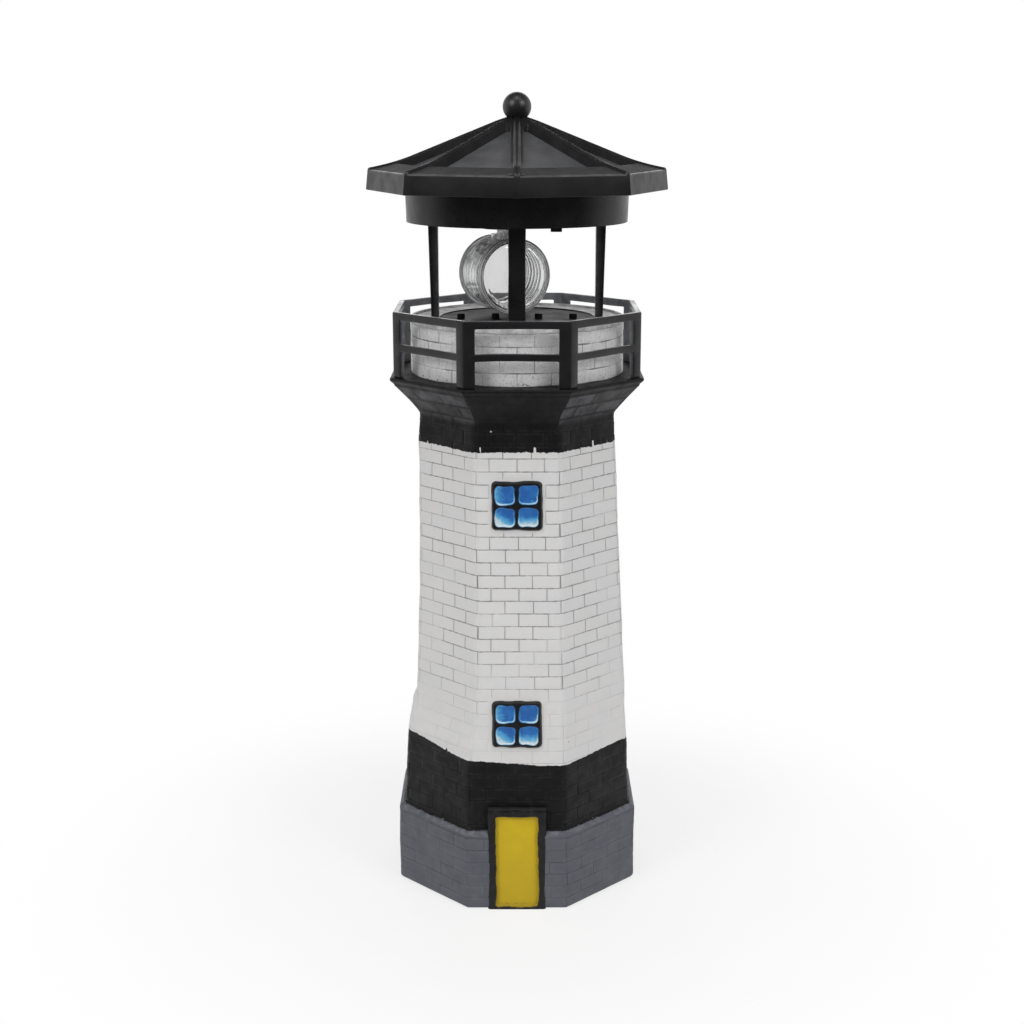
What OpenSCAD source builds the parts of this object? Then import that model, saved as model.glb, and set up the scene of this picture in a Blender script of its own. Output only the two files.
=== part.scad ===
/* [Tower] */
// Width across the flats of the plinth
plinth_af = 82.4; // [78:0.2:90]
// Height of the plinth
plinth_h = 28; // [24:0.5:30]
// How far the plinth stands out from the wall above it
plinth_step = 2.05; // [1.6:0.05:3]
// Width across the flats of the wall where the neck begins
neck_af = 65.6; // [63:0.2:67]
// Height of the foot of the neck
neck_z = 157; // [152:1:160]
// Height of the gallery deck
deck_z = 178.8; // [174:0.2:186]
// Width across the flats of the gallery deck
deck_af = 84; // [82.6:0.2:90]
// Height of the deck and its flared corbel together
corbel_h = 12.8; // [11:0.2:14]
// Thickness of the cast wall
cast_wall = 4.6; // [3.6:0.2:5.4]
// How far the left side of the wall draws in above its foot
left_draw = 2.6; // [0.6:0.1:2.6]
// Diameter of the round brick drum on the deck
drum_d = 71.4; // [70:0.2:73]
// Height of the round brick drum
drum_h = 16.8; // [14:0.2:20]

/* [Windows and door] */
// Width of a window over its frame
window_w = 17; // [15:0.5:19]
// Height of a window over its frame
window_h = 16.6; // [15:0.5:19]
// Width of the window's outer frame
window_frame = 1.8; // [1.4:0.1:2.4]
// Width of the bars between the panes
window_bar = 1.5; // [1:0.1:2.4]
// How far a window stands out from the wall
window_relief = 1.1; // [0.6:0.1:1.6]
// Height of the centre of the upper window
upper_window_z = 139.4; // [120:1:144]
// Height of the centre of the lower window
lower_window_z = 65.4; // [60:1:90]
// Width of the door
door_w = 14.2; // [12:0.2:18]
// Height of the door
door_h = 32.6; // [28:0.2:38]
// Width of the door frame on each side
door_frame = 2.7; // [2:0.1:3.6]
// Depth of the door behind its frame
door_recess = 2.2; // [1:0.1:2.6]

/* [Gallery railing] */
// Width across the outer flats of the railing
rail_af = 81.2; // [80:0.2:82.4]
// Height of the railing
rail_h = 21.5; // [18:0.5:24]
// Thickness of the railing
rail_t = 1.8; // [1.4:0.1:2.2]
// Height of the top rail
top_rail_h = 2.5; // [2:0.1:3.4]
// Height of the middle rail
mid_rail_h = 2.3; // [1.6:0.1:3]
// Width of each corner post on each of its two faces
rail_leg = 3.6; // [2.8:0.1:4.6]

/* [Gallery floor] */
// Thickness of the floor disc
floor_t = 1; // [0.8:0.1:1.6]
// Height of the lip round the floor
floor_lip = 0.7; // [0.4:0.1:1.2]
// Depth of the plug below the floor disc
plug_depth = 12.4; // [9:0.2:14]
// Wall of the plug
plug_wall = 1.6; // [1.2:0.1:2.2]
// Running gap between the plug and the drum
plug_gap = 0.3; // [0.2:0.05:0.5]

/* [Lantern posts] */
// Clear height between the floor and the housing
lantern_h = 31.9; // [30:0.1:36]
// Distance from the centre to the inner face of a post
post_r = 26.2; // [25:0.1:27]
// Width of a post
post_w = 5.5; // [4.5:0.1:6.5]
// Thickness of a post at the top
post_top_t = 3.3; // [3:0.1:3.6]
// Thickness of a post at the foot
post_foot_t = 2.5; // [2.2:0.1:3]
// Gap all round a post's tenon in its slot
tenon_gap = 0.1; // [0.05:0.01:0.2]

/* [Housing tray] */
// Diameter of the housing at its upper end
tray_d = 74; // [73:0.2:76]
// Draft of the housing wall on the diameter
tray_draft = 0.8; // [0:0.1:1.6]
// Height of the round part of the housing
tray_h = 11.5; // [11:0.1:13]
// Thickness of the housing wall
tray_wall = 1.7; // [1.4:0.1:2]
// Thickness of the housing floor
tray_floor = 1.8; // [1.5:0.1:2.4]
// Thickness of the flange that carries the roof
flange_t = 1.6; // [1.2:0.1:2]

/* [Roof] */
// Width of the roof across its corners
roof_ac = 99.8; // [98:0.2:104]
// Height of the upright eave band
fascia_h = 6.4; // [5.5:0.1:8]
// How far the eave band hangs below the flange
roof_drop = 1.4; // [0.6:0.1:2]
// Width of the flat eave margin along a ridge
margin_w = 9.4; // [8.6:0.1:10.2]
// Rise of the eave margin
margin_rise = 1.8; // [1.2:0.1:2.4]
// Pitch of the ridges in degrees
ridge_pitch = 21.8; // [20:0.1:24]
// Thickness of the roof shell
roof_t = 1.7; // [1.3:0.1:2]
// Width of the ribs on the ridges
rib_w = 2; // [1.4:0.1:2.6]
// Height of the ribs on the ridges
rib_h = 0.7; // [0.4:0.1:1]
// Diameter of the finial ball
ball_d = 9.4; // [8:0.1:11]
// Height of the ball's centre over the peak it sits on
ball_rise = 3.5; // [3:0.1:3.8]

/* [Solar cells] */
// Distance from a ridge to the edge of a panel field
field_margin = 2.2; // [1.8:0.1:3]
// Depth of a cell below the roof surface
field_depth = 2.3; // [1.5:0.1:2.4]
// Thickness of a cell
cell_t = 0.8; // [0.5:0.1:1]
// Thickness of the pocket floor under a cell
pocket_t = 0.8; // [0.6:0.1:1]

/* [Beacon] */
// Sideways offset of the spindle from the tower's centre
spindle_x = -4.3; // [-5:0.1:-3.5]
// Diameter over the rims of the beacon barrel
barrel_d = 24.8; // [22:0.2:25.4]
// Length of the beacon barrel
barrel_l = 20; // [17:0.5:21]
// How far the rims stand out from the barrel
rim_step = 0.7; // [0.4:0.1:1]
// Length of each rim
rim_l = 2.2; // [1.6:0.1:3]
// Wall of the barrel
barrel_wall = 1; // [0.8:0.1:1.4]
// Thickness of an end lens
lens_t = 1; // [0.7:0.1:1.2]
// Angle that the beacon faces at rest, in degrees from the front
beacon_turn = 22; // [0:1:45]
// Outer diameter of the hollow spindle
spindle_d = 4.8; // [4.6:0.1:5]
// Bore of the hollow spindle
spindle_bore = 3.6; // [3.5:0.1:3.8]
// Radial running clearance of shafts and bores
run_gap = 0.05; // [0.02:0.01:0.08]

/* [Drive] */
// Module of the gears
gear_module = 0.5; // [0.48:0.01:0.51]
// Teeth of the two large gears
big_teeth = 42; // [40:1:42]
// Teeth of the two small gears
small_teeth = 14; // [13:1:14]
// Diameter of the motor
motor_d = 12; // [10:0.5:12]
// Height of the motor
motor_h = 8.4; // [7:0.2:8.8]
// Diameter of the motor shaft
shaft_d = 1.5; // [1.2:0.1:1.8]
// Diameter of the idler pin
idler_pin_d = 2; // [1.6:0.1:2.4]

/* [Power] */
// Distance of the rechargeable cell from the centre
battery_y = 18; // [17.6:0.1:18.2]
// Free travel of the switch knob
switch_travel = 2; // [1.5:0.1:2.2]
// Width of the switch knob
knob_w = 3.6; // [3:0.1:4]

/* [Hidden] */
fine = 96;
small = 40;
eps = 0.01;
past = 1; // how far a cut runs past a face
half_side = 22.5;
corner = 1 / cos(half_side);

// Heights, from the ground up
drum_top = deck_z + drum_h;
floor_top = drum_top + floor_t;
tray_z = floor_top + lantern_h;
tray_in = tray_z + tray_floor;
flange_z = tray_z + tray_h;
flange_top = flange_z + flange_t;
fascia_z = flange_z - roof_drop;
eave_z = fascia_z + fascia_h;
slope_foot_z = eave_z + margin_rise;

// Tower
deck_edge_h = 0.9;
deck_chamfer = 0.4;
plinth_round = 1.6;
plinth_bevel_w = 0.7;
plinth_bevel_h = 1.2;
plinth_fall = 0.2;
neck_draw = 0.5;
corbel_foot_w = 1;
corbel_foot_h = 2.4;
corbel_lip_w = 1.4;
corbel_lip_h = 3.2;
door_sill = 1;
door_stand = 0.2;
door_block_l = 6;
pane_depth = 0.4;
drum_r = drum_d / 2;
bore_r = drum_r - cast_wall + 0.1;
plug_floor_gap = 0.6;
cavity_top_z = drum_top - plug_depth - plug_floor_gap;
cavity_top_r = neck_af / 2 - cast_wall - 0.4;
cavity_foot_r = plinth_af / 2 - cast_wall - 2;
wall_slope = (plinth_af / 2 - plinth_step - neck_af / 2) / (neck_z - plinth_h);
wall_tilt = atan(wall_slope);
draw_foot_z = plinth_h + 28.5;
draw_deep_z = plinth_h + 36;
draw_mid_z = neck_z - 51;
draw_mid_share = 0.85;
draw_side_share = 0.5;
draw_clear = 0.1;

// Gallery railing
rail_r = rail_af / 2;
panel_w = 2 * rail_r * tan(half_side) - 2 * rail_leg;
mid_rail_z = 8.8;

// Gallery floor
plug_r = bore_r - plug_gap;
plug_in_r = plug_r - plug_wall;
lip_w = 1;
tenon_w = post_w - 1.6;
tenon_t = post_foot_t - 0.9;
tenon_h = 3;
tenon_inset = 0.45;
tenon_short = 0.2;
socket_floor = 0.6;
stud_d = 2.6;
stud_h = 1.6;
stud_y = -3;
stud_x = [-18.7, -7.2, 7.2, 18.7];

// Housing tray
tray_top_r = tray_d / 2;
tray_foot_r = (tray_d - tray_draft) / 2;
tray_in_r = tray_foot_r - tray_wall;
flange_r = roof_ac / 2 - 2.6;
boss_r = 7.5;
boss_drop = 2.4;
bush_r = spindle_d / 2 + 1.2;
bush_top = tray_in + 2.1;
bush_collar_w = 1;
bush_collar_h = 0.9;
wall_bite = 0.4;
standoff_r = 2.2;
standoff_x = [-19.5, 22.5, -6];
standoff_y = [-6, -1, -21];

// Gear train: sizes first, then the places of the axes
addendum = 0.8 * gear_module;
dedendum = gear_module;
pressure = 20;
backlash = 0.08;
gear_t = 3;
wheel_t = 2.5;
big_r = gear_module * big_teeth / 2;
small_r = gear_module * small_teeth / 2;
centre_gap = big_r + small_r;
idler_turn = -35;
motor_turn = 80;
idler_x = spindle_x + centre_gap * cos(idler_turn);
idler_y = centre_gap * sin(idler_turn);
motor_x = idler_x + centre_gap * cos(motor_turn);
motor_y = idler_y + centre_gap * sin(motor_turn);
drive_z = bush_top;
idler_z = drive_z - 0.3;
wheel_z = drive_z + gear_t + 0.4;
plate_z = wheel_z + wheel_t + 2.3;
plate_t = 1.4;
plate_top = plate_z + plate_t;
plate_half_l = 17;
plate_front = 14.5;
plate_back = 11.5;
plate_arm_w = 6;
pin_boss = 1.2;
pin_seat = 0.7;
hub_r = 2.2;
end_play = 0.2;
motor_nose_r = 2;
motor_nose_h = 1;
shaft_seat = 3;
standoff_screw_l = 5;
board_lift = 1.2;
board_z = plate_top + board_lift;
board_t = 1.2;
board_top = board_z + board_t;
board_left = 16;
board_half_w = 9;
board_gap = 1.4;
board_post_x = 14.5;
board_post_y = 6;
board_post_r = 1.5;

// Beacon
barrel_r = barrel_d / 2;
body_r = barrel_r - rim_step;
barrel_z = floor_top + 2.1 + barrel_r;
saddle_r = 4.2;
saddle_bite = 1.4;
saddle_top = barrel_z + barrel_r + 0.9;
spindle_top = plate_z - 2 * end_play;
lens_r = body_r - 0.25;
lens_inset = 0.2;
lens_step = 0.25;
lens_ring = 0.7;
lens_pitch = 1.6;
prism_count = 5;
prism_depth = 0.4;
lamp_d = 3;
lamp_h = 5;
lamp_z = tray_z + 0.5;
lamp_lead_r = 0.25;
lamp_lead_x = 0.8;

// A standard rechargeable cell, its contacts, its holder and the hatch below
battery_d = 10.5;
battery_l = 44.5;
cell_lift = 0.3;
battery_z = tray_in + cell_lift + battery_d / 2;
nub_r = 1.9;
nub_l = 0.8;
contact_t = 0.4;
contact_w = 9;
contact_gap = 0.1;
spring_l = 2.9;
spring_r = 3;
spring_wire = 0.7;
cell_end = battery_l / 2;
holder_end = cell_end + spring_l + contact_t;
holder_w = battery_d + 0.5;
holder_wall = 1;
holder_h = 6;
holder_end_h = 9;
hatch_gap = 0.2;
hatch_l = 2 * holder_end - 0.6;
hatch_w = holder_w - 0.1;
ear_w = 5;
ear_end = 2.2;
ear_t = tray_floor / 2;
cover_screw_x = 18;
cover_screw_y = battery_y - holder_w / 2 - holder_wall - 2.2;
cover_boss_r = 2.1;
cover_boss_h = 4;
cover_screw_l = 4;

// Leads
lead_d = 0.9;
lead_elbow = 0.03;
lead_stub = 1;
battery_lead_y = board_half_w - 1.5;
spring_lead_y = battery_y - 2;
motor_lead_rise = 2;
motor_lead_l = 3;
motor_lead_gap = 1.4;

// Switch
switch_x = 12.4;
switch_y = -28;
switch_l = 8.6;
switch_w = 4.4;
switch_h = 4;
knob_drop = 1.5;
knob_t = 1.8;
knob_foot_l = 4.6;
knob_foot_w = 2.6;
knob_foot_h = 1.6;
knob_gap = 0.2;

// Roof, with radii to the corners
eave_top_r = roof_ac / 2 - 0.7;
inner_eave_r = eave_top_r - roof_t * corner;
inner_eave_draft = 0.6;
slope_foot_r = roof_ac / 2 - margin_w;
apex_r = 3;
ridge_slope = tan(ridge_pitch);
apex_z = slope_foot_z + (slope_foot_r - apex_r) * ridge_slope;
facet_pitch = atan(ridge_slope * corner);
facet_peak_z = apex_z + apex_r * ridge_slope;
roof_drop_t = roof_t / cos(facet_pitch);
ball_z = apex_z + ball_rise;
ball_foot_r = sqrt(ball_d * ball_d / 4 - ball_rise * ball_rise);
finial_seat_r = ball_foot_r + 0.8;
finial_stem_r = 1.5;
finial_stem_l = 3;
screw_r = (tray_top_r + inner_eave_r) / 2;
screw_boss_r = 2.4;
screw_boss_sink = 1.4;
screw_d = 2;
screw_gap = 0.2;
screw_hold = 2.6;
rib_root = 0.8;
rib_overlap = 0.6;
pocket_wall = 0.8;
cell_gap = 0.15;

// Panel fields, measured down the slope from the peak
field_spread = tan(half_side) * cos(facet_pitch);
field_foot = (slope_foot_r / corner - 0.2) / cos(facet_pitch);
field_tip_w = 0.8;
field_foot_w = field_foot * field_spread - field_margin;
field_tip = (field_tip_w + field_margin) / field_spread;

// A prism with eight flats of the given half width, one flat towards the front
module octagon(flat_r, h) {
    rotate([0, 0, half_side])
        cylinder(h = h, r = flat_r * corner, $fn = 8);
}

// A turned profile with eight sides; radii are taken to the flats
module octagon_turned(profile) {
    rotate([0, 0, half_side])
        rotate_extrude($fn = 8)
            polygon([for (p = profile) [p[0] * corner, p[1]]]);
}

// A pan head screw that points up from its head
module screw(d, l) {
    translate([0, 0, -d * 0.6])
        cylinder(h = d * 0.6, r = d * 0.9, $fn = small);
    cylinder(h = l, r = d / 2, $fn = small);
}

// Places a child at each standoff under the gear plate, at a height
module at_standoffs(z) {
    for (i = [0 : 2])
        translate([standoff_x[i], standoff_y[i], z])
            children();
}

// Places a child at each screw that holds the roof, at a height
module at_roof_screws(z) {
    for (turn = [45 : 90 : 315])
        rotate([0, 0, turn])
            translate([screw_r, 0, z])
                children();
}

// A round lead through a list of points
module lead(points, d) {
    for (i = [0 : len(points) - 2]) {
        step = points[i + 1] - points[i];
        translate(points[i])
            rotate([0, acos(step[2] / norm(step)), atan2(step[1], step[0])])
                cylinder(h = norm(step), r = d / 2, $fn = 16);
    }
    for (i = [1 : len(points) - 2])
        translate(points[i])
            sphere(r = d / 2 + lead_elbow, $fn = 16);
}

// Half width of the wall at a height
function wall_at(z) = neck_af / 2 + (neck_z - z) * wall_slope;

tower_profile = [
    [0, 0],
    [plinth_af / 2 - plinth_round, 0],
    [plinth_af / 2, plinth_round],
    [plinth_af / 2, plinth_h - plinth_bevel_h],
    [plinth_af / 2 - plinth_bevel_w, plinth_h],
    [wall_at(plinth_h), plinth_h + plinth_fall],
    [neck_af / 2, neck_z],
    [neck_af / 2 - neck_draw, deck_z - corbel_h],
    [neck_af / 2 + corbel_foot_w, deck_z - corbel_h + corbel_foot_h],
    [deck_af / 2 - corbel_lip_w, deck_z - corbel_lip_h],
    [deck_af / 2, deck_z - deck_edge_h],
    [deck_af / 2 - deck_chamfer, deck_z],
    [0, deck_z]
];

// The wedge that draws in one face of the wall, by a depth, between the plinth and the neck
module draw_wedge(depth) {
    translate([0, plinth_af / 2, 0])
        rotate([90, 0, 0])
            linear_extrude(height = plinth_af)
                polygon([
                    [neck_af / 2 + draw_clear, neck_z],
                    [wall_at(draw_mid_z) - depth * draw_mid_share, draw_mid_z],
                    [wall_at(draw_deep_z) - depth, draw_deep_z],
                    [wall_at(draw_foot_z) + draw_clear, draw_foot_z],
                    [plinth_af, draw_foot_z],
                    [plinth_af, neck_z]
                ]);
}

// Window relief: frame, bars and four panes, at a height on the front wall
module window(z) {
    pane_w = (window_w - 2 * window_frame - window_bar) / 2;
    pane_h = (window_h - 2 * window_frame - window_bar) / 2;
    translate([0, -wall_at(z), z])
        rotate([-wall_tilt, 0, 0])
            difference() {
                translate([-window_w / 2, -window_relief, -window_h / 2])
                    cube([window_w, window_relief + past, window_h]);
                for (i = [0, 1], j = [0, 1])
                    translate([
                        -window_w / 2 + window_frame + i * (pane_w + window_bar),
                        -window_relief - past,
                        -window_h / 2 + window_frame + j * (pane_h + window_bar)
                    ])
                        cube([pane_w, past + window_relief - pane_depth, pane_h]);
            }
}

module tower_casting() {
    frame_w = door_w + 2 * door_frame;
    frame_face = plinth_af / 2 + door_stand;
    color("whitesmoke")
        difference() {
            union() {
                octagon_turned(tower_profile);
                translate([0, 0, deck_z - past])
                    cylinder(h = drum_h + past, r = drum_r, $fn = fine);
                translate([-frame_w / 2, -frame_face, 0])
                    cube([frame_w, door_block_l, door_sill + door_h + door_frame]);
                window(upper_window_z);
                window(lower_window_z);
            }
            translate([-door_w / 2, -frame_face - past, door_sill])
                cube([door_w, past + door_recess, door_h]);
            rotate([0, 0, 180])
                draw_wedge(left_draw);
            for (side = [-1, 1])
                rotate([0, 0, 180 + 45 * side])
                    draw_wedge(left_draw * draw_side_share);
            translate([0, 0, -eps])
                cylinder(h = cavity_top_z + eps, r1 = cavity_foot_r, r2 = cavity_top_r, $fn = fine);
            translate([0, 0, cavity_top_z - eps])
                cylinder(h = drum_top, r = bore_r, $fn = fine);
        }
}

module gallery_railing() {
    color("black")
        translate([0, 0, deck_z])
            difference() {
                octagon(rail_r, rail_h);
                translate([0, 0, -past])
                    octagon(rail_r - rail_t, rail_h + 2 * past);
                for (i = [0 : 7])
                    rotate([0, 0, 45 * i]) {
                        translate([rail_r - rail_t - past, -panel_w / 2, -past])
                            cube([rail_t + 2 * past, panel_w, mid_rail_z + past]);
                        translate([rail_r - rail_t - past, -panel_w / 2, mid_rail_z + mid_rail_h])
                            cube([rail_t + 2 * past, panel_w, rail_h - top_rail_h - mid_rail_z - mid_rail_h]);
                    }
            }
}

// Places a child at each post; a post stands on the local +X axis
module at_post(turn) {
    rotate([0, 0, turn])
        children();
}

// The tenon at either end of a post, or its slot when a gap is given
module tenon(z, h, gap) {
    translate([post_r + tenon_inset - gap, -tenon_w / 2 - gap, z])
        cube([tenon_t + 2 * gap, tenon_w + 2 * gap, h]);
}

module post(turn) {
    color("black")
        at_post(turn) {
            translate([0, post_w / 2, 0])
                rotate([90, 0, 0])
                    linear_extrude(height = post_w)
                        polygon([
                            [post_r, floor_top],
                            [post_r + post_foot_t, floor_top],
                            [post_r + post_top_t, tray_z],
                            [post_r, tray_z]
                        ]);
            tenon(floor_top - tenon_h, tenon_h + eps, 0);
            tenon(tray_z - eps, tray_floor + eps - tenon_short, 0);
        }
}

module post_front() {
    post(-90);
}

module post_back() {
    post(90);
}

module post_left() {
    post(180);
}

module post_right() {
    post(0);
}

module gallery_floor() {
    socket_h = tenon_h + socket_floor;
    socket_r = post_r - 1;
    color("black")
        difference() {
            union() {
                translate([0, 0, drum_top])
                    cylinder(h = floor_t, r = drum_r, $fn = fine);
                translate([0, 0, floor_top - eps])
                    difference() {
                        cylinder(h = floor_lip + eps, r = drum_r, $fn = fine);
                        translate([0, 0, -past])
                            cylinder(h = floor_lip + 2 * past, r = drum_r - lip_w, $fn = fine);
                    }
                translate([0, 0, drum_top - plug_depth])
                    difference() {
                        cylinder(h = plug_depth + eps, r = plug_r, $fn = fine);
                        translate([0, 0, -past])
                            cylinder(h = plug_depth + past, r = plug_in_r, $fn = fine);
                    }
                for (x = stud_x)
                    translate([x, stud_y, floor_top - eps])
                        cylinder(h = stud_h + eps, r = stud_d / 2, $fn = small);
                for (turn = [0 : 90 : 270])
                    at_post(turn)
                        translate([socket_r, -post_w / 2, floor_top - socket_h])
                            cube([plug_in_r + wall_bite - socket_r, post_w, socket_h - floor_t + eps]);
            }
            for (turn = [0 : 90 : 270])
                at_post(turn)
                    tenon(floor_top - tenon_h, tenon_h + past, tenon_gap);
        }
}

module housing_tray() {
    hatch_x = hatch_l / 2 + hatch_gap;
    hatch_y = hatch_w / 2 + hatch_gap;
    color("black")
        difference() {
            union() {
                difference() {
                    union() {
                        translate([0, 0, tray_z])
                            cylinder(h = tray_h + eps, r1 = tray_foot_r, r2 = tray_top_r, $fn = fine);
                        translate([0, 0, flange_z])
                            cylinder(h = flange_t, r = flange_r, $fn = 8);
                    }
                    translate([0, 0, tray_in])
                        cylinder(h = tray_h + flange_t, r = tray_in_r, $fn = fine);
                }
                translate([spindle_x, 0, tray_z - boss_drop])
                    cylinder(h = boss_drop + eps, r = boss_r, $fn = small);
                at_standoffs(tray_in - eps)
                    cylinder(h = plate_z - tray_in + eps, r = standoff_r, $fn = small);
                translate([idler_x, idler_y, tray_in - eps])
                    cylinder(h = idler_z - tray_in + eps, r = idler_pin_d / 2 + pin_boss, $fn = small);
                intersection() {
                    for (side = [-1, 1])
                        translate([
                            -holder_end - holder_wall,
                            battery_y + side * (holder_w + holder_wall) / 2 - holder_wall / 2,
                            tray_in - eps
                        ])
                            cube([2 * (holder_end + holder_wall), holder_wall, holder_h]);
                    translate([0, 0, tray_z])
                        cylinder(h = tray_h, r = tray_in_r + wall_bite, $fn = fine);
                }
                intersection() {
                    for (side = [-1, 1])
                        translate([
                            side * (holder_end + holder_wall / 2) - holder_wall / 2,
                            battery_y - holder_w / 2 - holder_wall,
                            tray_in - eps
                        ])
                            cube([holder_wall, holder_w + 2 * holder_wall, holder_end_h]);
                    translate([0, 0, tray_z])
                        cylinder(h = tray_h, r = tray_in_r + wall_bite, $fn = fine);
                }
                translate([cover_screw_x, cover_screw_y, tray_in - eps])
                    cylinder(h = cover_boss_h, r = cover_boss_r, $fn = small);
            }
            translate([spindle_x, 0, tray_z - boss_drop - past])
                cylinder(h = boss_drop + tray_floor + 2 * past, r = bush_r + eps, $fn = small);
            translate([idler_x, idler_y, tray_in - pin_seat - end_play])
                cylinder(h = tray_h, r = idler_pin_d / 2 + eps, $fn = small);
            at_standoffs(plate_z - standoff_screw_l)
                cylinder(h = standoff_screw_l + past, r = screw_d / 2, $fn = small);
            for (turn = [0 : 90 : 270])
                at_post(turn)
                    tenon(tray_z - past, tray_floor + 2 * past, tenon_gap);
            translate([-hatch_x, battery_y - hatch_y, tray_z - past])
                cube([2 * hatch_x, 2 * hatch_y, tray_floor + past + eps]);
            translate([cover_screw_x - ear_w / 2 - hatch_gap, cover_screw_y - ear_end - hatch_gap, tray_z - past])
                cube([ear_w + 2 * hatch_gap, battery_y - cover_screw_y + ear_end, ear_t + past]);
            translate([cover_screw_x, cover_screw_y, tray_z])
                cylinder(h = cover_screw_l + tray_floor / 2, r = screw_d / 2, $fn = small);
            translate([
                switch_x - switch_travel - knob_w / 2 - knob_gap,
                switch_y - knob_t / 2 - knob_gap,
                tray_z - past
            ])
                cube([knob_w + switch_travel + 2 * knob_gap, knob_t + 2 * knob_gap, tray_floor + 2 * past]);
            at_roof_screws(flange_z - past)
                cylinder(h = flange_t + 2 * past, r = screw_d / 2 + screw_gap, $fn = small);
        }
}

module spindle_bush() {
    color("goldenrod")
        translate([spindle_x, 0, tray_z - boss_drop])
            difference() {
                union() {
                    cylinder(h = bush_top - tray_z + boss_drop, r = bush_r, $fn = small);
                    translate([0, 0, boss_drop + tray_floor])
                        cylinder(h = bush_collar_h, r = bush_r + bush_collar_w, $fn = small);
                }
                translate([0, 0, -past])
                    cylinder(h = tray_h, r = spindle_d / 2 + run_gap, $fn = small);
            }
}

// The plate that carries the motor, the board and the idler's upper end
module gear_plate() {
    color("dimgray")
        difference() {
            union() {
                translate([-plate_half_l, -plate_front, plate_z])
                    cube([2 * plate_half_l, plate_front + plate_back, plate_t]);
                at_standoffs(plate_z)
                    cylinder(h = plate_t, r = standoff_r + 1, $fn = small);
                for (i = [0, 1])
                    translate([min(0, standoff_x[i]), standoff_y[i] - plate_arm_w / 2, plate_z])
                        cube([abs(standoff_x[i]), plate_arm_w, plate_t]);
                translate([standoff_x[2] - plate_arm_w / 2, standoff_y[2], plate_z])
                    cube([plate_arm_w, -standoff_y[2], plate_t]);
                for (side = [-1, 1])
                    translate([-board_post_x, side * board_post_y, plate_top - eps])
                        cylinder(h = board_lift + eps, r = board_post_r, $fn = small);
            }
            translate([spindle_x, 0, plate_z - past])
                cylinder(h = plate_t + 2 * past, r = spindle_d / 2, $fn = small);
            translate([idler_x, idler_y, plate_z - past])
                cylinder(h = plate_t + 2 * past, r = idler_pin_d / 2 + eps, $fn = small);
            translate([motor_x, motor_y, plate_z - past])
                cylinder(h = plate_t + 2 * past, r = motor_nose_r + end_play, $fn = small);
            at_standoffs(plate_z - past)
                cylinder(h = plate_t + 2 * past, r = screw_d / 2 + screw_gap, $fn = small);
        }
}

module standoff_screws() {
    color("silver")
        at_standoffs(plate_top)
            mirror([0, 0, 1])
                screw(screw_d, standoff_screw_l);
}

module idler_pin() {
    color("silver")
        translate([idler_x, idler_y, tray_in - pin_seat])
            cylinder(h = plate_top - tray_in + pin_seat, r = idler_pin_d / 2, $fn = small);
}

module drive_motor() {
    color("silver")
        translate([motor_x, motor_y, plate_top])
            difference() {
                union() {
                    cylinder(h = motor_h, r = motor_d / 2, $fn = small);
                    translate([0, 0, -motor_nose_h])
                        cylinder(h = motor_nose_h + eps, r = motor_nose_r, $fn = small);
                }
                translate([0, 0, -motor_nose_h - past])
                    cylinder(h = motor_nose_h + past + shaft_seat + past, r = shaft_d / 2 + run_gap, $fn = small);
            }
}

module circuit_board() {
    color("seagreen")
        difference() {
            translate([-board_left, -board_half_w, board_z])
                cube([board_left + motor_x - motor_d / 2 - board_gap, 2 * board_half_w, board_t]);
            for (side = [-1, 1])
                translate([spindle_x + side * lamp_lead_x, 0, board_z - past])
                    cylinder(h = board_t + 2 * past, r = lamp_lead_r + run_gap, $fn = 16);
        }
}

module beacon_lamp() {
    color("ivory")
        translate([spindle_x, 0, lamp_z + lamp_d / 2]) {
            sphere(r = lamp_d / 2, $fn = small);
            cylinder(h = lamp_h - lamp_d / 2, r = lamp_d / 2, $fn = small);
        }
}

module lamp_leads() {
    color("silver")
        for (side = [-1, 1])
            translate([spindle_x + side * lamp_lead_x, 0, lamp_z + lamp_h])
                cylinder(h = board_top + 0.4 - lamp_z - lamp_h, r = lamp_lead_r, $fn = 16);
}

module battery_cell() {
    color("royalblue")
        translate([-cell_end, battery_y, battery_z])
            rotate([0, 90, 0]) {
                cylinder(h = battery_l - nub_l, r = battery_d / 2, $fn = fine);
                translate([0, 0, battery_l - nub_l - eps])
                    cylinder(h = nub_l + eps, r = nub_r, $fn = small);
            }
}

module contact_spring() {
    color("silver")
        translate([-cell_end - spring_l - contact_t, battery_y, battery_z])
            rotate([0, 90, 0]) {
                translate([-contact_w / 2, -contact_w / 2, 0])
                    cube([contact_w, contact_w, contact_t]);
                difference() {
                    cylinder(h = spring_l + contact_t - contact_gap, r = spring_r, $fn = small);
                    translate([0, 0, contact_t])
                        cylinder(h = spring_l + 1, r = spring_r - spring_wire, $fn = small);
                }
            }
}

module contact_tab() {
    color("silver")
        translate([holder_end, battery_y, battery_z])
            rotate([0, -90, 0]) {
                translate([-contact_w / 2, -contact_w / 2, 0])
                    cube([contact_w, contact_w, contact_t]);
                cylinder(h = spring_l + contact_t - contact_gap, r = nub_r, $fn = small);
            }
}

module battery_cover() {
    color("black")
        difference() {
            union() {
                translate([-hatch_l / 2, battery_y - hatch_w / 2, tray_z])
                    cube([hatch_l, hatch_w, tray_floor]);
                translate([cover_screw_x - ear_w / 2, cover_screw_y - ear_end, tray_z])
                    cube([ear_w, battery_y - cover_screw_y + ear_end, ear_t - contact_gap]);
            }
            translate([cover_screw_x, cover_screw_y, tray_z - past])
                cylinder(h = tray_floor + 2 * past, r = screw_d / 2 + screw_gap, $fn = small);
        }
}

module cover_screw() {
    color("silver")
        translate([cover_screw_x, cover_screw_y, tray_z])
            screw(screw_d, cover_screw_l);
}

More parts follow.
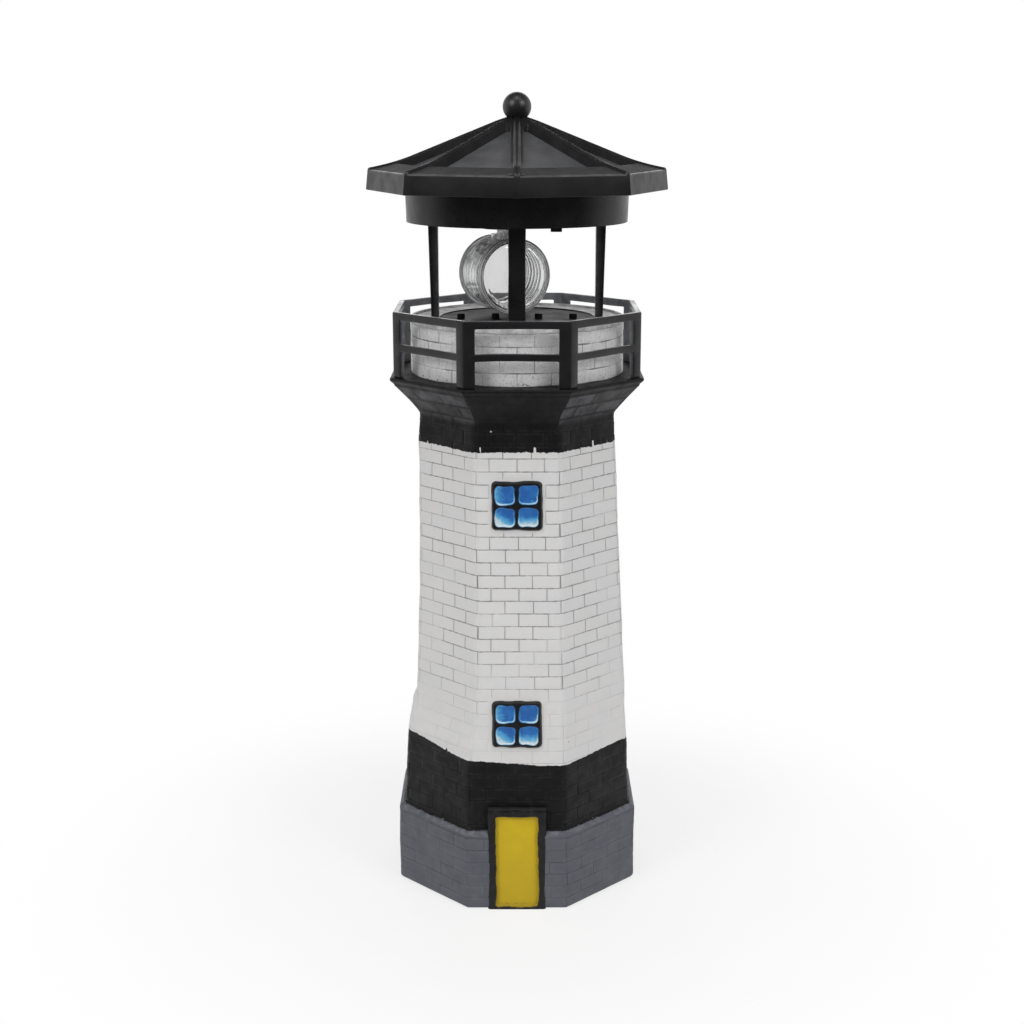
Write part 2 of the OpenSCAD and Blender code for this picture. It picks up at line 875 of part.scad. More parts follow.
module switch_body() {
    color("gray")
        translate([switch_x - switch_travel / 2, switch_y, tray_in])
            difference() {
                translate([-switch_l / 2, -switch_w / 2, 0])
                    cube([switch_l, switch_w, switch_h]);
                translate([
                    -(knob_foot_l + switch_travel) / 2 - knob_gap,
                    -knob_foot_w / 2 - knob_gap,
                    -past
                ])
                    cube([
                        knob_foot_l + switch_travel + 2 * knob_gap,
                        knob_foot_w + 2 * knob_gap,
                        past + knob_foot_h + 2 * knob_gap
                    ]);
            }
}

module switch_knob() {
    color("black")
        translate([switch_x, switch_y, tray_in]) {
            translate([-knob_foot_l / 2, -knob_foot_w / 2, knob_gap / 2])
                cube([knob_foot_l, knob_foot_w, knob_foot_h]);
            translate([-knob_w / 2, -knob_t / 2, -tray_floor - knob_drop])
                cube([knob_w, knob_t, tray_floor + knob_drop + knob_gap]);
        }
}

module motor_leads() {
    color("firebrick")
        for (side = [-1, 1])
            translate([motor_x - motor_d / 2, motor_y + side * motor_lead_gap, board_top])
                lead([
                    [-motor_lead_l, 0, 0],
                    [-motor_lead_l, 0, motor_lead_rise],
                    [0, 0, motor_lead_rise]
                ], lead_d);
}

module battery_leads() {
    color("firebrick")
        lead([
            [-board_left, battery_lead_y, board_z + board_t / 2],
            [-board_left - lead_stub, battery_lead_y, board_z + board_t / 2],
            [-holder_end + contact_t / 2, spring_lead_y, board_z + board_t / 2],
            [-holder_end + contact_t / 2, spring_lead_y, battery_z + contact_w / 2]
        ], lead_d);
}

// One closed prism over a panel field, from one depth to another below the roof face
module field_prism(grow, from, to) {
    translate([0, 0, facet_peak_z])
        rotate([0, facet_pitch, 0])
            translate([0, 0, -to])
                linear_extrude(height = to - from)
                    polygon([
                        [field_tip - grow, -field_tip_w - grow * 0.7],
                        [field_foot + grow * 0.6, -field_foot_w - grow],
                        [field_foot + grow * 0.6, field_foot_w + grow],
                        [field_tip - grow, field_tip_w + grow * 0.7]
                    ]);
}

module rib() {
    foot_l = (slope_foot_r - apex_r) / cos(ridge_pitch);
    margin_pitch = atan(margin_rise / (eave_top_r - slope_foot_r));
    translate([apex_r, 0, apex_z])
        rotate([0, ridge_pitch, 0])
            translate([0, -rib_w / 2, -rib_root])
                cube([foot_l, rib_w, rib_root + rib_h]);
    translate([slope_foot_r, 0, slope_foot_z])
        rotate([0, margin_pitch, 0])
            translate([-rib_overlap, -rib_w / 2, -rib_root])
                cube([eave_top_r - slope_foot_r - rib_overlap, rib_w, rib_root + rib_h * 0.8]);
}

module roof_shell() {
    color("black")
        difference() {
            union() {
                difference() {
                    union() {
                        rotate_extrude($fn = 8)
                            polygon([
                                [0, fascia_z],
                                [roof_ac / 2, fascia_z],
                                [eave_top_r, eave_z],
                                [slope_foot_r, slope_foot_z],
                                [apex_r, apex_z],
                                [0, apex_z]
                            ]);
                        for (i = [0 : 7])
                            rotate([0, 0, 45 * i])
                                rib();
                    }
                    rotate_extrude($fn = 8)
                        polygon([
                            [0, fascia_z - past],
                            [inner_eave_r + inner_eave_draft, fascia_z - past],
                            [inner_eave_r, eave_z - roof_drop_t],
                            [slope_foot_r - 1, slope_foot_z - roof_drop_t],
                            [apex_r - 1, apex_z - roof_drop_t],
                            [0, apex_z - roof_drop_t]
                        ]);
                }
                for (i = [0 : 7])
                    rotate([0, 0, 45 * i + half_side])
                        field_prism(pocket_wall, roof_t / 3, field_depth + cell_t + pocket_t);
                at_roof_screws(flange_top)
                    cylinder(h = slope_foot_z - flange_top - screw_boss_sink, r = screw_boss_r, $fn = small);
            }
            for (i = [0 : 7])
                rotate([0, 0, 45 * i + half_side])
                    field_prism(0, -2 * past, field_depth + cell_t);
            at_roof_screws(flange_top - past)
                cylinder(h = past + screw_hold + end_play, r = screw_d / 2, $fn = small);
            cylinder(h = apex_z + past, r = finial_stem_r + eps, $fn = small);
            translate([0, 0, apex_z])
                cylinder(h = ball_rise, r = finial_seat_r, $fn = small);
        }
}

module solar_cell(i) {
    color("dimgray")
        rotate([0, 0, 45 * i + half_side])
            field_prism(-cell_gap, field_depth, field_depth + cell_t);
}

module roof_screws() {
    color("silver")
        at_roof_screws(flange_z)
            screw(screw_d, flange_t + screw_hold);
}

module finial_ball() {
    color("black") {
        intersection() {
            translate([0, 0, ball_z])
                sphere(r = ball_d / 2, $fn = fine);
            translate([0, 0, apex_z])
                cylinder(h = ball_d, r = ball_d, $fn = small);
        }
        translate([0, 0, apex_z - finial_stem_l])
            cylinder(h = finial_stem_l + 1, r = finial_stem_r, $fn = small);
    }
}

// Places a child on the beacon's own axis, which lies along local Z
module at_beacon() {
    translate([spindle_x, 0, barrel_z])
        rotate([0, 0, beacon_turn - 90])
            rotate([0, 90, 0])
                children();
}

module beacon_barrel() {
    pitch = (barrel_l - 2 * rim_l) / (prism_count + 1);
    color("lightgray", 0.5)
        difference() {
            at_beacon()
                difference() {
                    union() {
                        translate([0, 0, -barrel_l / 2])
                            cylinder(h = barrel_l, r = body_r, $fn = fine);
                        for (side = [-1, 1])
                            translate([0, 0, side * (barrel_l - rim_l) / 2 - rim_l / 2])
                                cylinder(h = rim_l, r = barrel_r, $fn = fine);
                    }
                    translate([0, 0, -barrel_l])
                        cylinder(h = 2 * barrel_l, r = body_r - barrel_wall, $fn = fine);
                    for (side = [-1, 1])
                        translate([0, 0, side * barrel_l / 2 - lens_t - lens_inset])
                            cylinder(h = 2 * (lens_t + lens_inset), r = lens_r + eps, $fn = fine);
                    for (i = [1 : prism_count])
                        translate([0, 0, -barrel_l / 2 + rim_l + i * pitch - pitch / 4])
                            cylinder(h = pitch / 2, r = body_r - barrel_wall + prism_depth, $fn = fine);
                }
            translate([spindle_x, 0, barrel_z + 2])
                cylinder(h = barrel_r, r = spindle_bore / 2, $fn = small);
        }
}

// An end lens with low steps round its rim; side is 1 at the front
module end_lens(side) {
    color("lightgray", 0.5)
        at_beacon()
            translate([0, 0, side * (barrel_l / 2 - lens_t / 2 - lens_inset)])
                difference() {
                    translate([0, 0, -lens_t / 2])
                        cylinder(h = lens_t, r = lens_r, $fn = fine);
                    for (ring_r = [lens_r - lens_pitch / 2, lens_r - 3 * lens_pitch / 2])
                        translate([0, 0, side * lens_t / 2 - lens_step])
                            difference() {
                                cylinder(h = 2 * lens_step, r = ring_r, $fn = fine);
                                translate([0, 0, -past])
                                    cylinder(h = 2 * lens_step + 2 * past, r = ring_r - lens_ring, $fn = fine);
                            }
                }
}

module lens_front() {
    end_lens(1);
}

module lens_back() {
    end_lens(-1);
}

module beacon_spindle() {
    color("whitesmoke")
        difference() {
            union() {
                translate([spindle_x, 0, barrel_z + body_r - saddle_bite])
                    cylinder(h = saddle_top - barrel_z - body_r + saddle_bite, r = saddle_r, $fn = small);
                translate([spindle_x, 0, saddle_top - eps])
                    cylinder(h = spindle_top - saddle_top + eps, r = spindle_d / 2, $fn = small);
            }
            at_beacon()
                translate([0, 0, -barrel_l / 2])
                    cylinder(h = barrel_l, r = body_r + 2 * eps, $fn = fine);
            translate([spindle_x, 0, barrel_z])
                cylinder(h = spindle_top, r = spindle_bore / 2, $fn = small);
        }
}

// Involute of the pressure angle, in degrees
function inv(a) = tan(a) * 180 / PI - a;

// Half of the angle that a tooth spans at a radius
function tooth_half(r, pitch_r, teeth) =
    90 / teeth - backlash / pitch_r / 2 * 90 / PI
    + inv(pressure) - inv(acos(min(1, pitch_r * cos(pressure) / r)));

// Outline of a spur gear, with a tooth centred on the +X axis
function gear_points(teeth) =
    let (
        pitch_r = gear_module * teeth / 2,
        base_r = pitch_r * cos(pressure),
        root_r = pitch_r - dedendum,
        tip_r = pitch_r + addendum,
        start_r = max(base_r, root_r),
        flank = [for (k = [0 : 3]) start_r + (tip_r - start_r) * k / 3],
        root_half = tooth_half(start_r, pitch_r, teeth)
    )
    [for (i = [0 : teeth - 1])
        let (turn = 360 * i / teeth)
        each concat(
            [root_r * [cos(turn - root_half), sin(turn - root_half)]],
            [for (r = flank)
                let (a = turn - tooth_half(r, pitch_r, teeth))
                r * [cos(a), sin(a)]],
            [for (k = [3 : -1 : 0])
                let (a = turn + tooth_half(flank[k], pitch_r, teeth))
                flank[k] * [cos(a), sin(a)]],
            [root_r * [cos(turn + root_half), sin(turn + root_half)]]
        )];

module gear(teeth, h) {
    linear_extrude(height = h)
        polygon(gear_points(teeth));
}

module drive_gear() {
    color("ivory")
        translate([spindle_x, 0, drive_z])
            difference() {
                union() {
                    rotate([0, 0, idler_turn])
                        gear(big_teeth, gear_t);
                    cylinder(h = spindle_top - drive_z, r = centre_gap - big_r - addendum - 0.3, $fn = small);
                }
                translate([0, 0, -past])
                    cylinder(h = tray_h, r = spindle_d / 2 + eps, $fn = small);
            }
}

module idler_gear() {
    color("ivory")
        translate([idler_x, idler_y, idler_z])
            difference() {
                union() {
                    rotate([0, 0, idler_turn + 180 + 180 / small_teeth])
                        gear(small_teeth, wheel_z - idler_z + eps);
                    translate([0, 0, wheel_z - idler_z])
                        rotate([0, 0, motor_turn])
                            gear(big_teeth, wheel_t);
                    cylinder(h = plate_z - end_play - idler_z, r = hub_r, $fn = small);
                }
                translate([0, 0, -past])
                    cylinder(h = tray_h, r = idler_pin_d / 2 + run_gap, $fn = small);
            }
}

module motor_pinion() {
    color("goldenrod")
        translate([motor_x, motor_y, wheel_z - end_play])
            difference() {
                rotate([0, 0, motor_turn + 180 + 180 / small_teeth])
                    gear(small_teeth, wheel_t + 2 * end_play);
                translate([0, 0, -past])
                    cylinder(h = tray_h, r = shaft_d / 2 + eps, $fn = small);
            }
}

module motor_shaft() {
    color("silver")
        translate([motor_x, motor_y, wheel_z - 2 * end_play])
            cylinder(h = plate_top + shaft_seat - wheel_z + 2 * end_play, r = shaft_d / 2, $fn = small);
}

tower_casting();
gallery_railing();
gallery_floor();
post_front();
post_back();
post_left();
post_right();
housing_tray();
spindle_bush();
gear_plate();
standoff_screws();
idler_pin();
drive_motor();
circuit_board();
beacon_lamp();
lamp_leads();
battery_cell();
contact_spring();
contact_tab();
battery_cover();
cover_screw();
switch_body();
motor_leads();
battery_leads();
roof_shell();
roof_screws();
finial_ball();
solar_cell(1);  // solar_cell_1
solar_cell(2);  // solar_cell_2
solar_cell(3);  // solar_cell_3
solar_cell(4);  // solar_cell_4
solar_cell(5);  // solar_cell_5
solar_cell(6);  // solar_cell_6
solar_cell(7);  // solar_cell_7
solar_cell(8);  // solar_cell_8
beacon_spindle();
drive_gear();
beacon_barrel();
lens_front();
lens_back();
idler_gear();
motor_pinion();
motor_shaft();
switch_knob();
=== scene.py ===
import math
import random

import bmesh
import bpy
import numpy as np
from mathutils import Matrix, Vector


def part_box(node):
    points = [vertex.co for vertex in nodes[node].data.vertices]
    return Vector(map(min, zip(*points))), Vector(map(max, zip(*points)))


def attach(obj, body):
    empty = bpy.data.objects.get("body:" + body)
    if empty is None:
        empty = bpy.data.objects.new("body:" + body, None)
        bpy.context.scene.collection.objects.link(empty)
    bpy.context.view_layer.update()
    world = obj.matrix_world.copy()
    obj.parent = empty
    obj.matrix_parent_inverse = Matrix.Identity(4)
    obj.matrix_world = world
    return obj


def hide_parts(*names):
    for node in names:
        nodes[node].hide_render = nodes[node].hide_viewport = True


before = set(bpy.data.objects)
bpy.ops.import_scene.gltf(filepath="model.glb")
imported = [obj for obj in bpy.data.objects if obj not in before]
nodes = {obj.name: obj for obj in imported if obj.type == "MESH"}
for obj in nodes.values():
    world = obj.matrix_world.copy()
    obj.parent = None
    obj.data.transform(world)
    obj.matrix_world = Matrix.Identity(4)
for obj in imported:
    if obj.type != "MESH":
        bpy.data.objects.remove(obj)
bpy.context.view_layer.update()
mm = 0.001
turnSteps = 128
beaconSteps = 144
halfSide = math.tan(math.radians(22.5))  # half a side of an octagon that is 1 from its middle to a flat
cornerRatio = 1 / math.cos(math.radians(22.5))  # how far its corners are out
cornerCos = math.cos(math.radians(45))  # between the directions of two sides that meet


def lowest(node):
    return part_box(node)[0] / mm


def highest(node):
    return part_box(node)[1] / mm


# The sizes that the others hang on, in mm, most of them taken from the frame
deckZ = lowest("gallery_railing").z
deckR = highest("tower_casting").x
drumTop = highest("tower_casting").z
railR = highest("gallery_railing").x
railTop = highest("gallery_railing").z
housingZ = lowest("battery_cover").z
lanternH = 31.9
floorTop = housingZ - lanternH
eaveCorner = highest("roof_shell").x
eaveFoot = lowest("roof_shell").z
drumR = 35.7
liningFootR = 34.6


def newObject(name, data):
    made = bpy.data.objects.new(name, data)
    bpy.context.scene.collection.objects.link(made)
    return made


def newPiece(name, vertices, faces):
    # A smooth mesh object from sizes in mm, with its faces looking outwards
    mesh = bpy.data.meshes.new(name)
    mesh.from_pydata([tuple(v) for v in np.asarray(vertices, float) * mm], [], faces)
    mesh.validate()
    made = bmesh.new()
    made.from_mesh(mesh)
    if made.calc_volume(signed=True) < 0:
        bmesh.ops.reverse_faces(made, faces=made.faces)
        made.to_mesh(mesh)
    made.free()
    mesh.polygons.foreach_set("use_smooth", [True] * len(mesh.polygons))
    return newObject(name, mesh)


def meshPiece(name, made):
    # An object from a finished bmesh
    mesh = bpy.data.meshes.new(name)
    made.to_mesh(mesh)
    made.free()
    return newObject(name, mesh)


def gridPiece(name, points, closed=False):
    # A piece from rows of points, each row closed into a ring or left open
    rows, columns = points.shape[:2]
    last = columns if closed else columns - 1
    row, column = np.meshgrid(np.arange(rows - 1), np.arange(last), indexing="ij")
    after = (column + 1) % columns
    quads = np.stack([row * columns + column, row * columns + after,
                      (row + 1) * columns + after, (row + 1) * columns + column], axis=-1)
    return newPiece(name, points.reshape(-1, 3), quads.reshape(-1, 4).tolist())


def keepValues(piece, name, values):
    layer = piece.data.attributes.new(name, "FLOAT", "POINT")
    layer.data.foreach_set("value", np.ascontiguousarray(values, np.float32).ravel())


def unevenness(points, size, seed, count=9):
    # Smooth noise between about -1 and 1 over an array of points, with features of the given size
    source = random.Random(seed)
    total = np.zeros(points.shape[:-1])
    for _ in range(count):
        direction = np.array([source.gauss(0, 1) for _ in range(3)])
        direction /= np.linalg.norm(direction)
        wave = 2 * math.pi / (size * source.uniform(0.7, 1.6))
        total += np.sin(points @ direction * wave + source.uniform(0, 2 * math.pi))
    return total / math.sqrt(count)


def smoothStep(low, high, value):
    t = np.clip((value - low) / (high - low), 0, 1)
    return t * t * (3 - 2 * t)


def bump(value, width):
    # 1 at a value of 0, falling off on both sides over about the width
    return np.exp(-(value / width) ** 2)


def swung(x, y, turn):
    # A place turned about the tower's axis
    return x * math.cos(turn) - y * math.sin(turn), x * math.sin(turn) + y * math.cos(turn)


def stacked(x, y, z):
    return np.stack(np.broadcast_arrays(x, y, z), axis=-1)


def aroundAxis(radius, angle, height):
    return stacked(radius * np.cos(angle), radius * np.sin(angle), height)


def rounded(corners, radius, steps=4):
    # An outline with each inner corner turned into an arc, which takes at most 0.45 of an edge
    points = [corners[0]]
    for before, here, after in zip(corners, corners[1:], corners[2:]):
        before, here, after = (np.array(p, float) for p in (before, here, after))
        toBefore, toAfter = before - here, after - here
        reach = min(radius, np.linalg.norm(toBefore) * 0.45, np.linalg.norm(toAfter) * 0.45)
        start = here + toBefore / np.linalg.norm(toBefore) * reach
        end = here + toAfter / np.linalg.norm(toAfter) * reach
        for i in range(steps + 1):
            t = i / steps
            points.append(tuple((1 - t) ** 2 * start + 2 * t * (1 - t) * here + t ** 2 * end))
    points.append(corners[-1])
    return points


def turned(name, profile, centre=(0, 0), steps=turnSteps):
    # A turned piece from a list of radius and height
    angle = np.linspace(0, 2 * math.pi, steps, endpoint=False)
    profile = np.array(profile, float)
    points = aroundAxis(profile[:, :1], angle, profile[:, 1:])
    return gridPiece(name, points + np.array([*centre, 0]), closed=True)


def bevelled(piece, width, segments=3, angle=35):
    bevel = piece.modifiers.new("Bevel", "BEVEL")
    bevel.width = width * mm
    bevel.segments = segments
    bevel.limit_method = "ANGLE"
    bevel.angle_limit = math.radians(angle)
    return piece


def softened(node, name, width):
    # A copy of a CAD node with its flat faces joined and its edges rounded
    piece = newObject(name, nodes[node].data.copy())
    made = bmesh.new()
    made.from_mesh(piece.data)
    bmesh.ops.remove_doubles(made, verts=made.verts, dist=0.002 * mm)
    bmesh.ops.dissolve_limit(made, angle_limit=math.radians(0.6), verts=made.verts, edges=made.edges)
    for edge in made.edges:
        edge.smooth = len(edge.link_faces) == 2 and edge.calc_face_angle(0) < math.radians(35)
    for face in made.faces:
        face.smooth = True
    made.to_mesh(piece.data)
    made.free()
    normals = piece.data.attributes.get("custom_normal")
    if normals:
        piece.data.attributes.remove(normals)
    return bevelled(piece, width, 2, 40)


def finishPiece(piece, body, slot, material, *replaced):
    piece.data.materials.clear()
    piece.data.materials.append(material)
    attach(piece, body)
    if replaced:
        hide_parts(*replaced)
    return piece


def grey(tone):
    return (tone, tone, tone)


class Graph:
    # The node tree of a material or a world, with short calls for the nodes that are used most

    def __init__(self, name, store=bpy.data.materials, coordinates="Object"):
        self.owner = store.new(name)
        self.owner.use_nodes = True
        self.tree = self.owner.node_tree
        self.place = self.add("ShaderNodeTexCoord").outputs[coordinates]

    def add(self, kind, **values):
        made = self.tree.nodes.new(kind)
        for key, value in values.items():
            setattr(made, key, value)
        return made

    def link(self, source, target):
        # Joins a socket to the target, or writes a number or a colour on it
        if isinstance(source, bpy.types.NodeSocket):
            self.tree.links.new(source, target)
        else:
            target.default_value = (*source, 1) if isinstance(source, tuple) else source

    def joined(self, kind, inputs, result=0, **values):
        # The result of a new node with the given inputs, which go by number or by name
        made = self.add(kind, **values)
        for key, value in inputs.items():
            self.link(value, made.inputs[key])
        return made.outputs[result]

    def axis(self, name):
        return self.joined("ShaderNodeSeparateXYZ", {0: self.place}, name)

    def noise(self, featureSize, detail=3, roughness=0.55, stretch=None):
        # Noise whose features are about the given size in mm
        place = self.place
        if stretch:
            mapping = self.add("ShaderNodeMapping")
            mapping.inputs["Scale"].default_value = stretch
            self.link(place, mapping.inputs["Vector"])
            place = mapping.outputs["Vector"]
        return self.joined("ShaderNodeTexNoise", {"Vector": place, "Scale": 1 / (featureSize * mm),
                                                  "Detail": detail, "Roughness": roughness}, "Fac")

    def remap(self, value, fromLow, fromHigh, toLow=0, toHigh=1):
        inputs = {"Value": value, "From Min": fromLow, "From Max": fromHigh,
                  "To Min": toLow, "To Max": toHigh}
        return self.joined("ShaderNodeMapRange", inputs, "Result", interpolation_type="SMOOTHSTEP")

    def uneven(self, low, high, featureSize, detail=4):
        return self.remap(self.noise(featureSize, detail), 0.3, 0.7, low, high)

    def math(self, operation, first, second=0.0):
        return self.joined("ShaderNodeMath", {0: first, 1: second}, operation=operation)

    def times(self, first, second):
        return self.math("MULTIPLY", first, second)

    def plus(self, total, *others):
        for other in others:
            total = self.math("ADD", total, other)
        return total

    def swing(self, noise, size):
        # A length that swings either way by half the size, which is in mm
        return self.times(self.math("SUBTRACT", noise, 0.5), size * mm)

    def mix(self, factor, first, second):
        return self.joined("ShaderNodeMix", {0: factor, 6: first, 7: second}, 2, data_type="RGBA")

    def wash(self, tone, colour, value, low, high, share=1):
        # A colour laid over a tone, from none of it at a low value to its full share at a high one
        return self.mix(self.remap(value, low, high, 0, share), tone, colour)

    def stored(self, name):
        return self.add("ShaderNodeAttribute", attribute_name=name).outputs["Fac"]

    def bump(self, height, distance, before=None):
        # Bump of the given height in mm
        inputs = {"Height": height, "Distance": distance * mm}
        if before:
            inputs["Normal"] = before
        return self.joined("ShaderNodeBump", inputs, "Normal")

    def rays(self):
        # Two values: 1 for rays seen directly or through clear plastic, and 1 for mirrored rays
        path = self.add("ShaderNodeLightPath").outputs
        direct = self.math("MAXIMUM", path["Is Camera Ray"], path["Is Transmission Ray"])
        return direct, path["Is Glossy Ray"]

    def finish(self, colour, roughness, normal=None, **values):
        shader = self.tree.nodes["Principled BSDF"]
        for value, key in ((colour, "Base Color"), (roughness, "Roughness"), (normal, "Normal")):
            if value is not None:
                self.link(value, shader.inputs[key])
        for key, value in values.items():
            shader.inputs[key.replace("_", " ")].default_value = value
        return self.owner


def mouldedPlastic(name, colour, fleck, shine, grain=0.5, ripple=0.02, pale=None, matt=False, **values):
    # Faint colour clouds, uneven gloss and a slightly rippled skin. pale is the tone where the
    # stored value "pale" is 1. With matt, the skin is dull where the stored value "dull" is 1.
    g = Graph(name)
    clouds = g.remap(g.noise(9, 4), 0.35, 0.7)
    dustAndSheen = g.remap(g.noise(grain, 2, 0.7), 0.66, 0.8, 0, 0.5)
    tone = g.mix(dustAndSheen, g.mix(clouds, colour, tuple(c * 1.5 for c in colour)), fleck)
    if pale:
        share = g.times(g.stored("pale"), g.remap(g.noise(4, 4, 0.6), 0.3, 0.7, 0.6, 1))
        tone = g.mix(share, tone, pale)
    gloss = g.remap(g.noise(6, 5, 0.6), 0.3, 0.72, *shine)
    if matt:
        gloss = g.plus(gloss, g.times(g.stored("dull"), 0.45))
    skin = g.bump(g.noise(5, 2), ripple, g.bump(g.noise(0.4, 2), ripple * 0.12))
    return g.finish(tone, gloss, skin, **values)


def turnedMetal(name, colour, shade):
    g = Graph(name)
    streaks = g.noise(0.35, 3, 0.6, stretch=(1, 1, 6))
    tone = g.wash(colour, shade, streaks, 0.35, 0.68)
    return g.finish(tone, g.uneven(0.22, 0.4, 2), g.bump(streaks, 0.01), Metallic=1.0)


def clearPlastic(name, tint, shine, ripple, shaded=False):
    # Polished clear plastic with faint flow ripples and a few dull patches. Where it is shaded, the
    # stored value "shade" paints mottled shade and dark reflections into it and "rib" paints thin lines of
    # shade.
    g = Graph(name)
    tone = g.wash(tint, tuple(c * 0.93 for c in tint), g.noise(4, 5, 0.6), 0.52, 0.75)
    gloss = g.remap(g.noise(3, 3), 0.35, 0.7, *shine)
    if shaded:
        mottle = g.remap(g.noise(2.2, 5, 0.7, (1, 1, 0.6)), 0.36, 0.6, 0.3, 1)
        tone = g.mix(g.times(g.stored("shade"), mottle), tone, (0.06, 0.06, 0.064))
        tone = g.mix(g.stored("rib"), tone, grey(0.25))
    return g.finish(tone, gloss, g.bump(g.noise(3, 2), ripple), Transmission_Weight=1.0, IOR=1.47)


blackTone = (0.0075, 0.0076, 0.008)
blackFleck = (0.05, 0.05, 0.052)
blackShine = (0.24, 0.36)
black = mouldedPlastic("black_gloss", blackTone, blackFleck, blackShine, Specular_IOR_Level=0.28)
# pale is a painted reflection on the posts' edges towards the axis
blackPost = mouldedPlastic("black_post", blackTone, blackFleck, blackShine, pale=(0.11, 0.11, 0.112),
                           Specular_IOR_Level=0.28)
blackFloor = mouldedPlastic("black_floor", blackTone, blackFleck, (0.5, 0.62), pale=grey(0.92),
                            Specular_IOR_Level=0.05)
blackBall = mouldedPlastic("black_ball", (0.006, 0.0062, 0.007), blackFleck, (0.38, 0.45), ripple=0.01,
                           Specular_IOR_Level=0.8)
# pale is a painted reflection on the railing's inner faces
blackRail = mouldedPlastic("black_satin", (0.0095, 0.0095, 0.0105), (0.055, 0.056, 0.06), (0.26, 0.42),
                           0.35, 0.03, pale=(0.3, 0.305, 0.33))
blackRoof = mouldedPlastic("black_roof", (0.0095, 0.0096, 0.0105), blackFleck, (0.3, 0.44),
                           pale=(0.1, 0.1, 0.105), matt=True, Specular_IOR_Level=0.3)
clear = clearPlastic("clear_lens", (0.83, 0.825, 0.825), (0.01, 0.04), 0.006)
clearWall = clearPlastic("clear_wall", (0.93, 0.95, 0.95), (0.05, 0.16), 0.08, shaded=True)
clearRim = mouldedPlastic("clear_rim", (0.6, 0.61, 0.6), (0.9, 0.9, 0.89), (0.08, 0.2), 0.9, 0.05,
                          pale=grey(0.06), Transmission_Weight=0.5, IOR=1.45)
milky = mouldedPlastic("milky_spindle", grey(0.92), grey(0.95), (0.2, 0.35),
                       Transmission_Weight=0.6, IOR=1.2)
gearPlastic = mouldedPlastic("gear_nylon", (0.68, 0.66, 0.58), (0.5, 0.47, 0.38), (0.32, 0.5))
greyPlastic = mouldedPlastic("grey_moulding", (0.05, 0.05, 0.053), (0.16, 0.16, 0.17), (0.36, 0.55))
lampResin = mouldedPlastic("lamp_resin", (0.82, 0.8, 0.7), (0.95, 0.93, 0.85), (0.06, 0.14),
                           Transmission_Weight=0.7)
jacket = mouldedPlastic("red_lead", (0.33, 0.02, 0.018), (0.5, 0.1, 0.09), (0.35, 0.55))
steel = turnedMetal("bright_steel", (0.56, 0.57, 0.58), (0.38, 0.39, 0.4))
brass = turnedMetal("turned_brass", (0.7, 0.5, 0.2), (0.46, 0.31, 0.1))
print("finishes made")

# The tower's wall of painted bricks. The low white edge is painted higher on the left and lower at the
# front right: from x, to x, by how much. Specks of paint: x, y, height, size and tone.
wall = {
    "courseH": 4.3, "grooveW": 0.15, "grooveDepth": 0.24, "jitter": 0.022, "jointPitch": 0.385,
    "plinthR": 41.2, "plinthH": 28.0, "plinthRound": 1.8, "bevelH": 1.3, "bevelW": 0.8,
    "footR": 39.15, "neckR": 32.8, "neckZ": 157.0, "coveZ": deckZ - 12.8, "coveR": 32.3, "coveRows": 34,
    "edgeH": 0.9, "edgeLightAt": 0.42, "edgeLightW": 0.2, "cornerCut": 0.35, "cornerW": 0.6,
    "leftDraw": 2.6, "drawFootZ": 56.5, "drawDeepZ": 64.0, "drawMidZ": 106.0, "drawMidShare": 0.85,
    "doorHollow": 3.4, "doorHollowW": 7.7, "doorHollowZ": 34.3, "hollowRun": 1.5,
    "lowPaintZ": 52.4, "highPaintZ": 156.8,
    "lowPaintLeans": ((-15, -38, -2.7), (-15, 15, 1.6), (15, 38, -1.4)),
    "specks": ((-8.4, -32.7, 163.6, 0.42, 0.6), (2.2, -32.7, 164.0, 0.36, 0.55),
               (2.6, -32.7, 164.8, 0.2, 0.5), (-27.8, -18.4, 134.4, 0.75, 0.01),
               (12.0, -38.6, 46.2, 0.3, 0.2), (13.6, -38.6, 46.9, 0.22, 0.2), (-24.0, -30.5, 21.0, 0.3, 0.3),
               (27.5, -27.0, 24.3, 0.5, 0.01), (17.2, -36.0, 58.7, 0.3, 0.2)),
}
window = {
    "w": 17.0, "h": 16.6, "frame": 1.5, "bar": 1.1, "relief": 1.1, "paneSink": 0.55,
    "cornerR": 1.5, "paneCornerR": 1.5, "skirt": 1.2, "cells": 104, "margin": 1.4,
    "heights": {"upper_window": 139.4, "lower_window": 65.4},
    "seeds": {"upper_window": 31, "lower_window": 34},
}
drawShares = (0, 0, 0, 0, 0, 0.5, 1, 0.5)  # how far each side is drawn in, from the front round to the right
rowPlaces = (0, 0.035, 0.07, 0.115, 0.26, 0.42, 0.58, 0.74, 0.885, 0.93, 0.965)  # rows of points in a course


def wallRadius(z):
    w = wall
    return w["footR"] + (w["neckR"] - w["footR"]) * (z - w["plinthH"]) / (w["neckZ"] - w["plinthH"])


def wallDraw(side, z):
    # How far a side of the wall is drawn in at a height: the left three sides were cast so
    w = wall
    heights = (w["drawFootZ"], w["drawDeepZ"], w["drawMidZ"], w["neckZ"])
    return drawShares[side] * w["leftDraw"] * np.interp(z, heights, (0, 1, w["drawMidShare"], 0))


def courseHeights(low, high):
    first, last = int(low / wall["courseH"]) - 1, int(high / wall["courseH"]) + 1
    heights = [(k + place) * wall["courseH"] for k in range(first, last + 1) for place in rowPlaces]
    return [z for z in heights if low + 0.12 < z < high - 0.12]


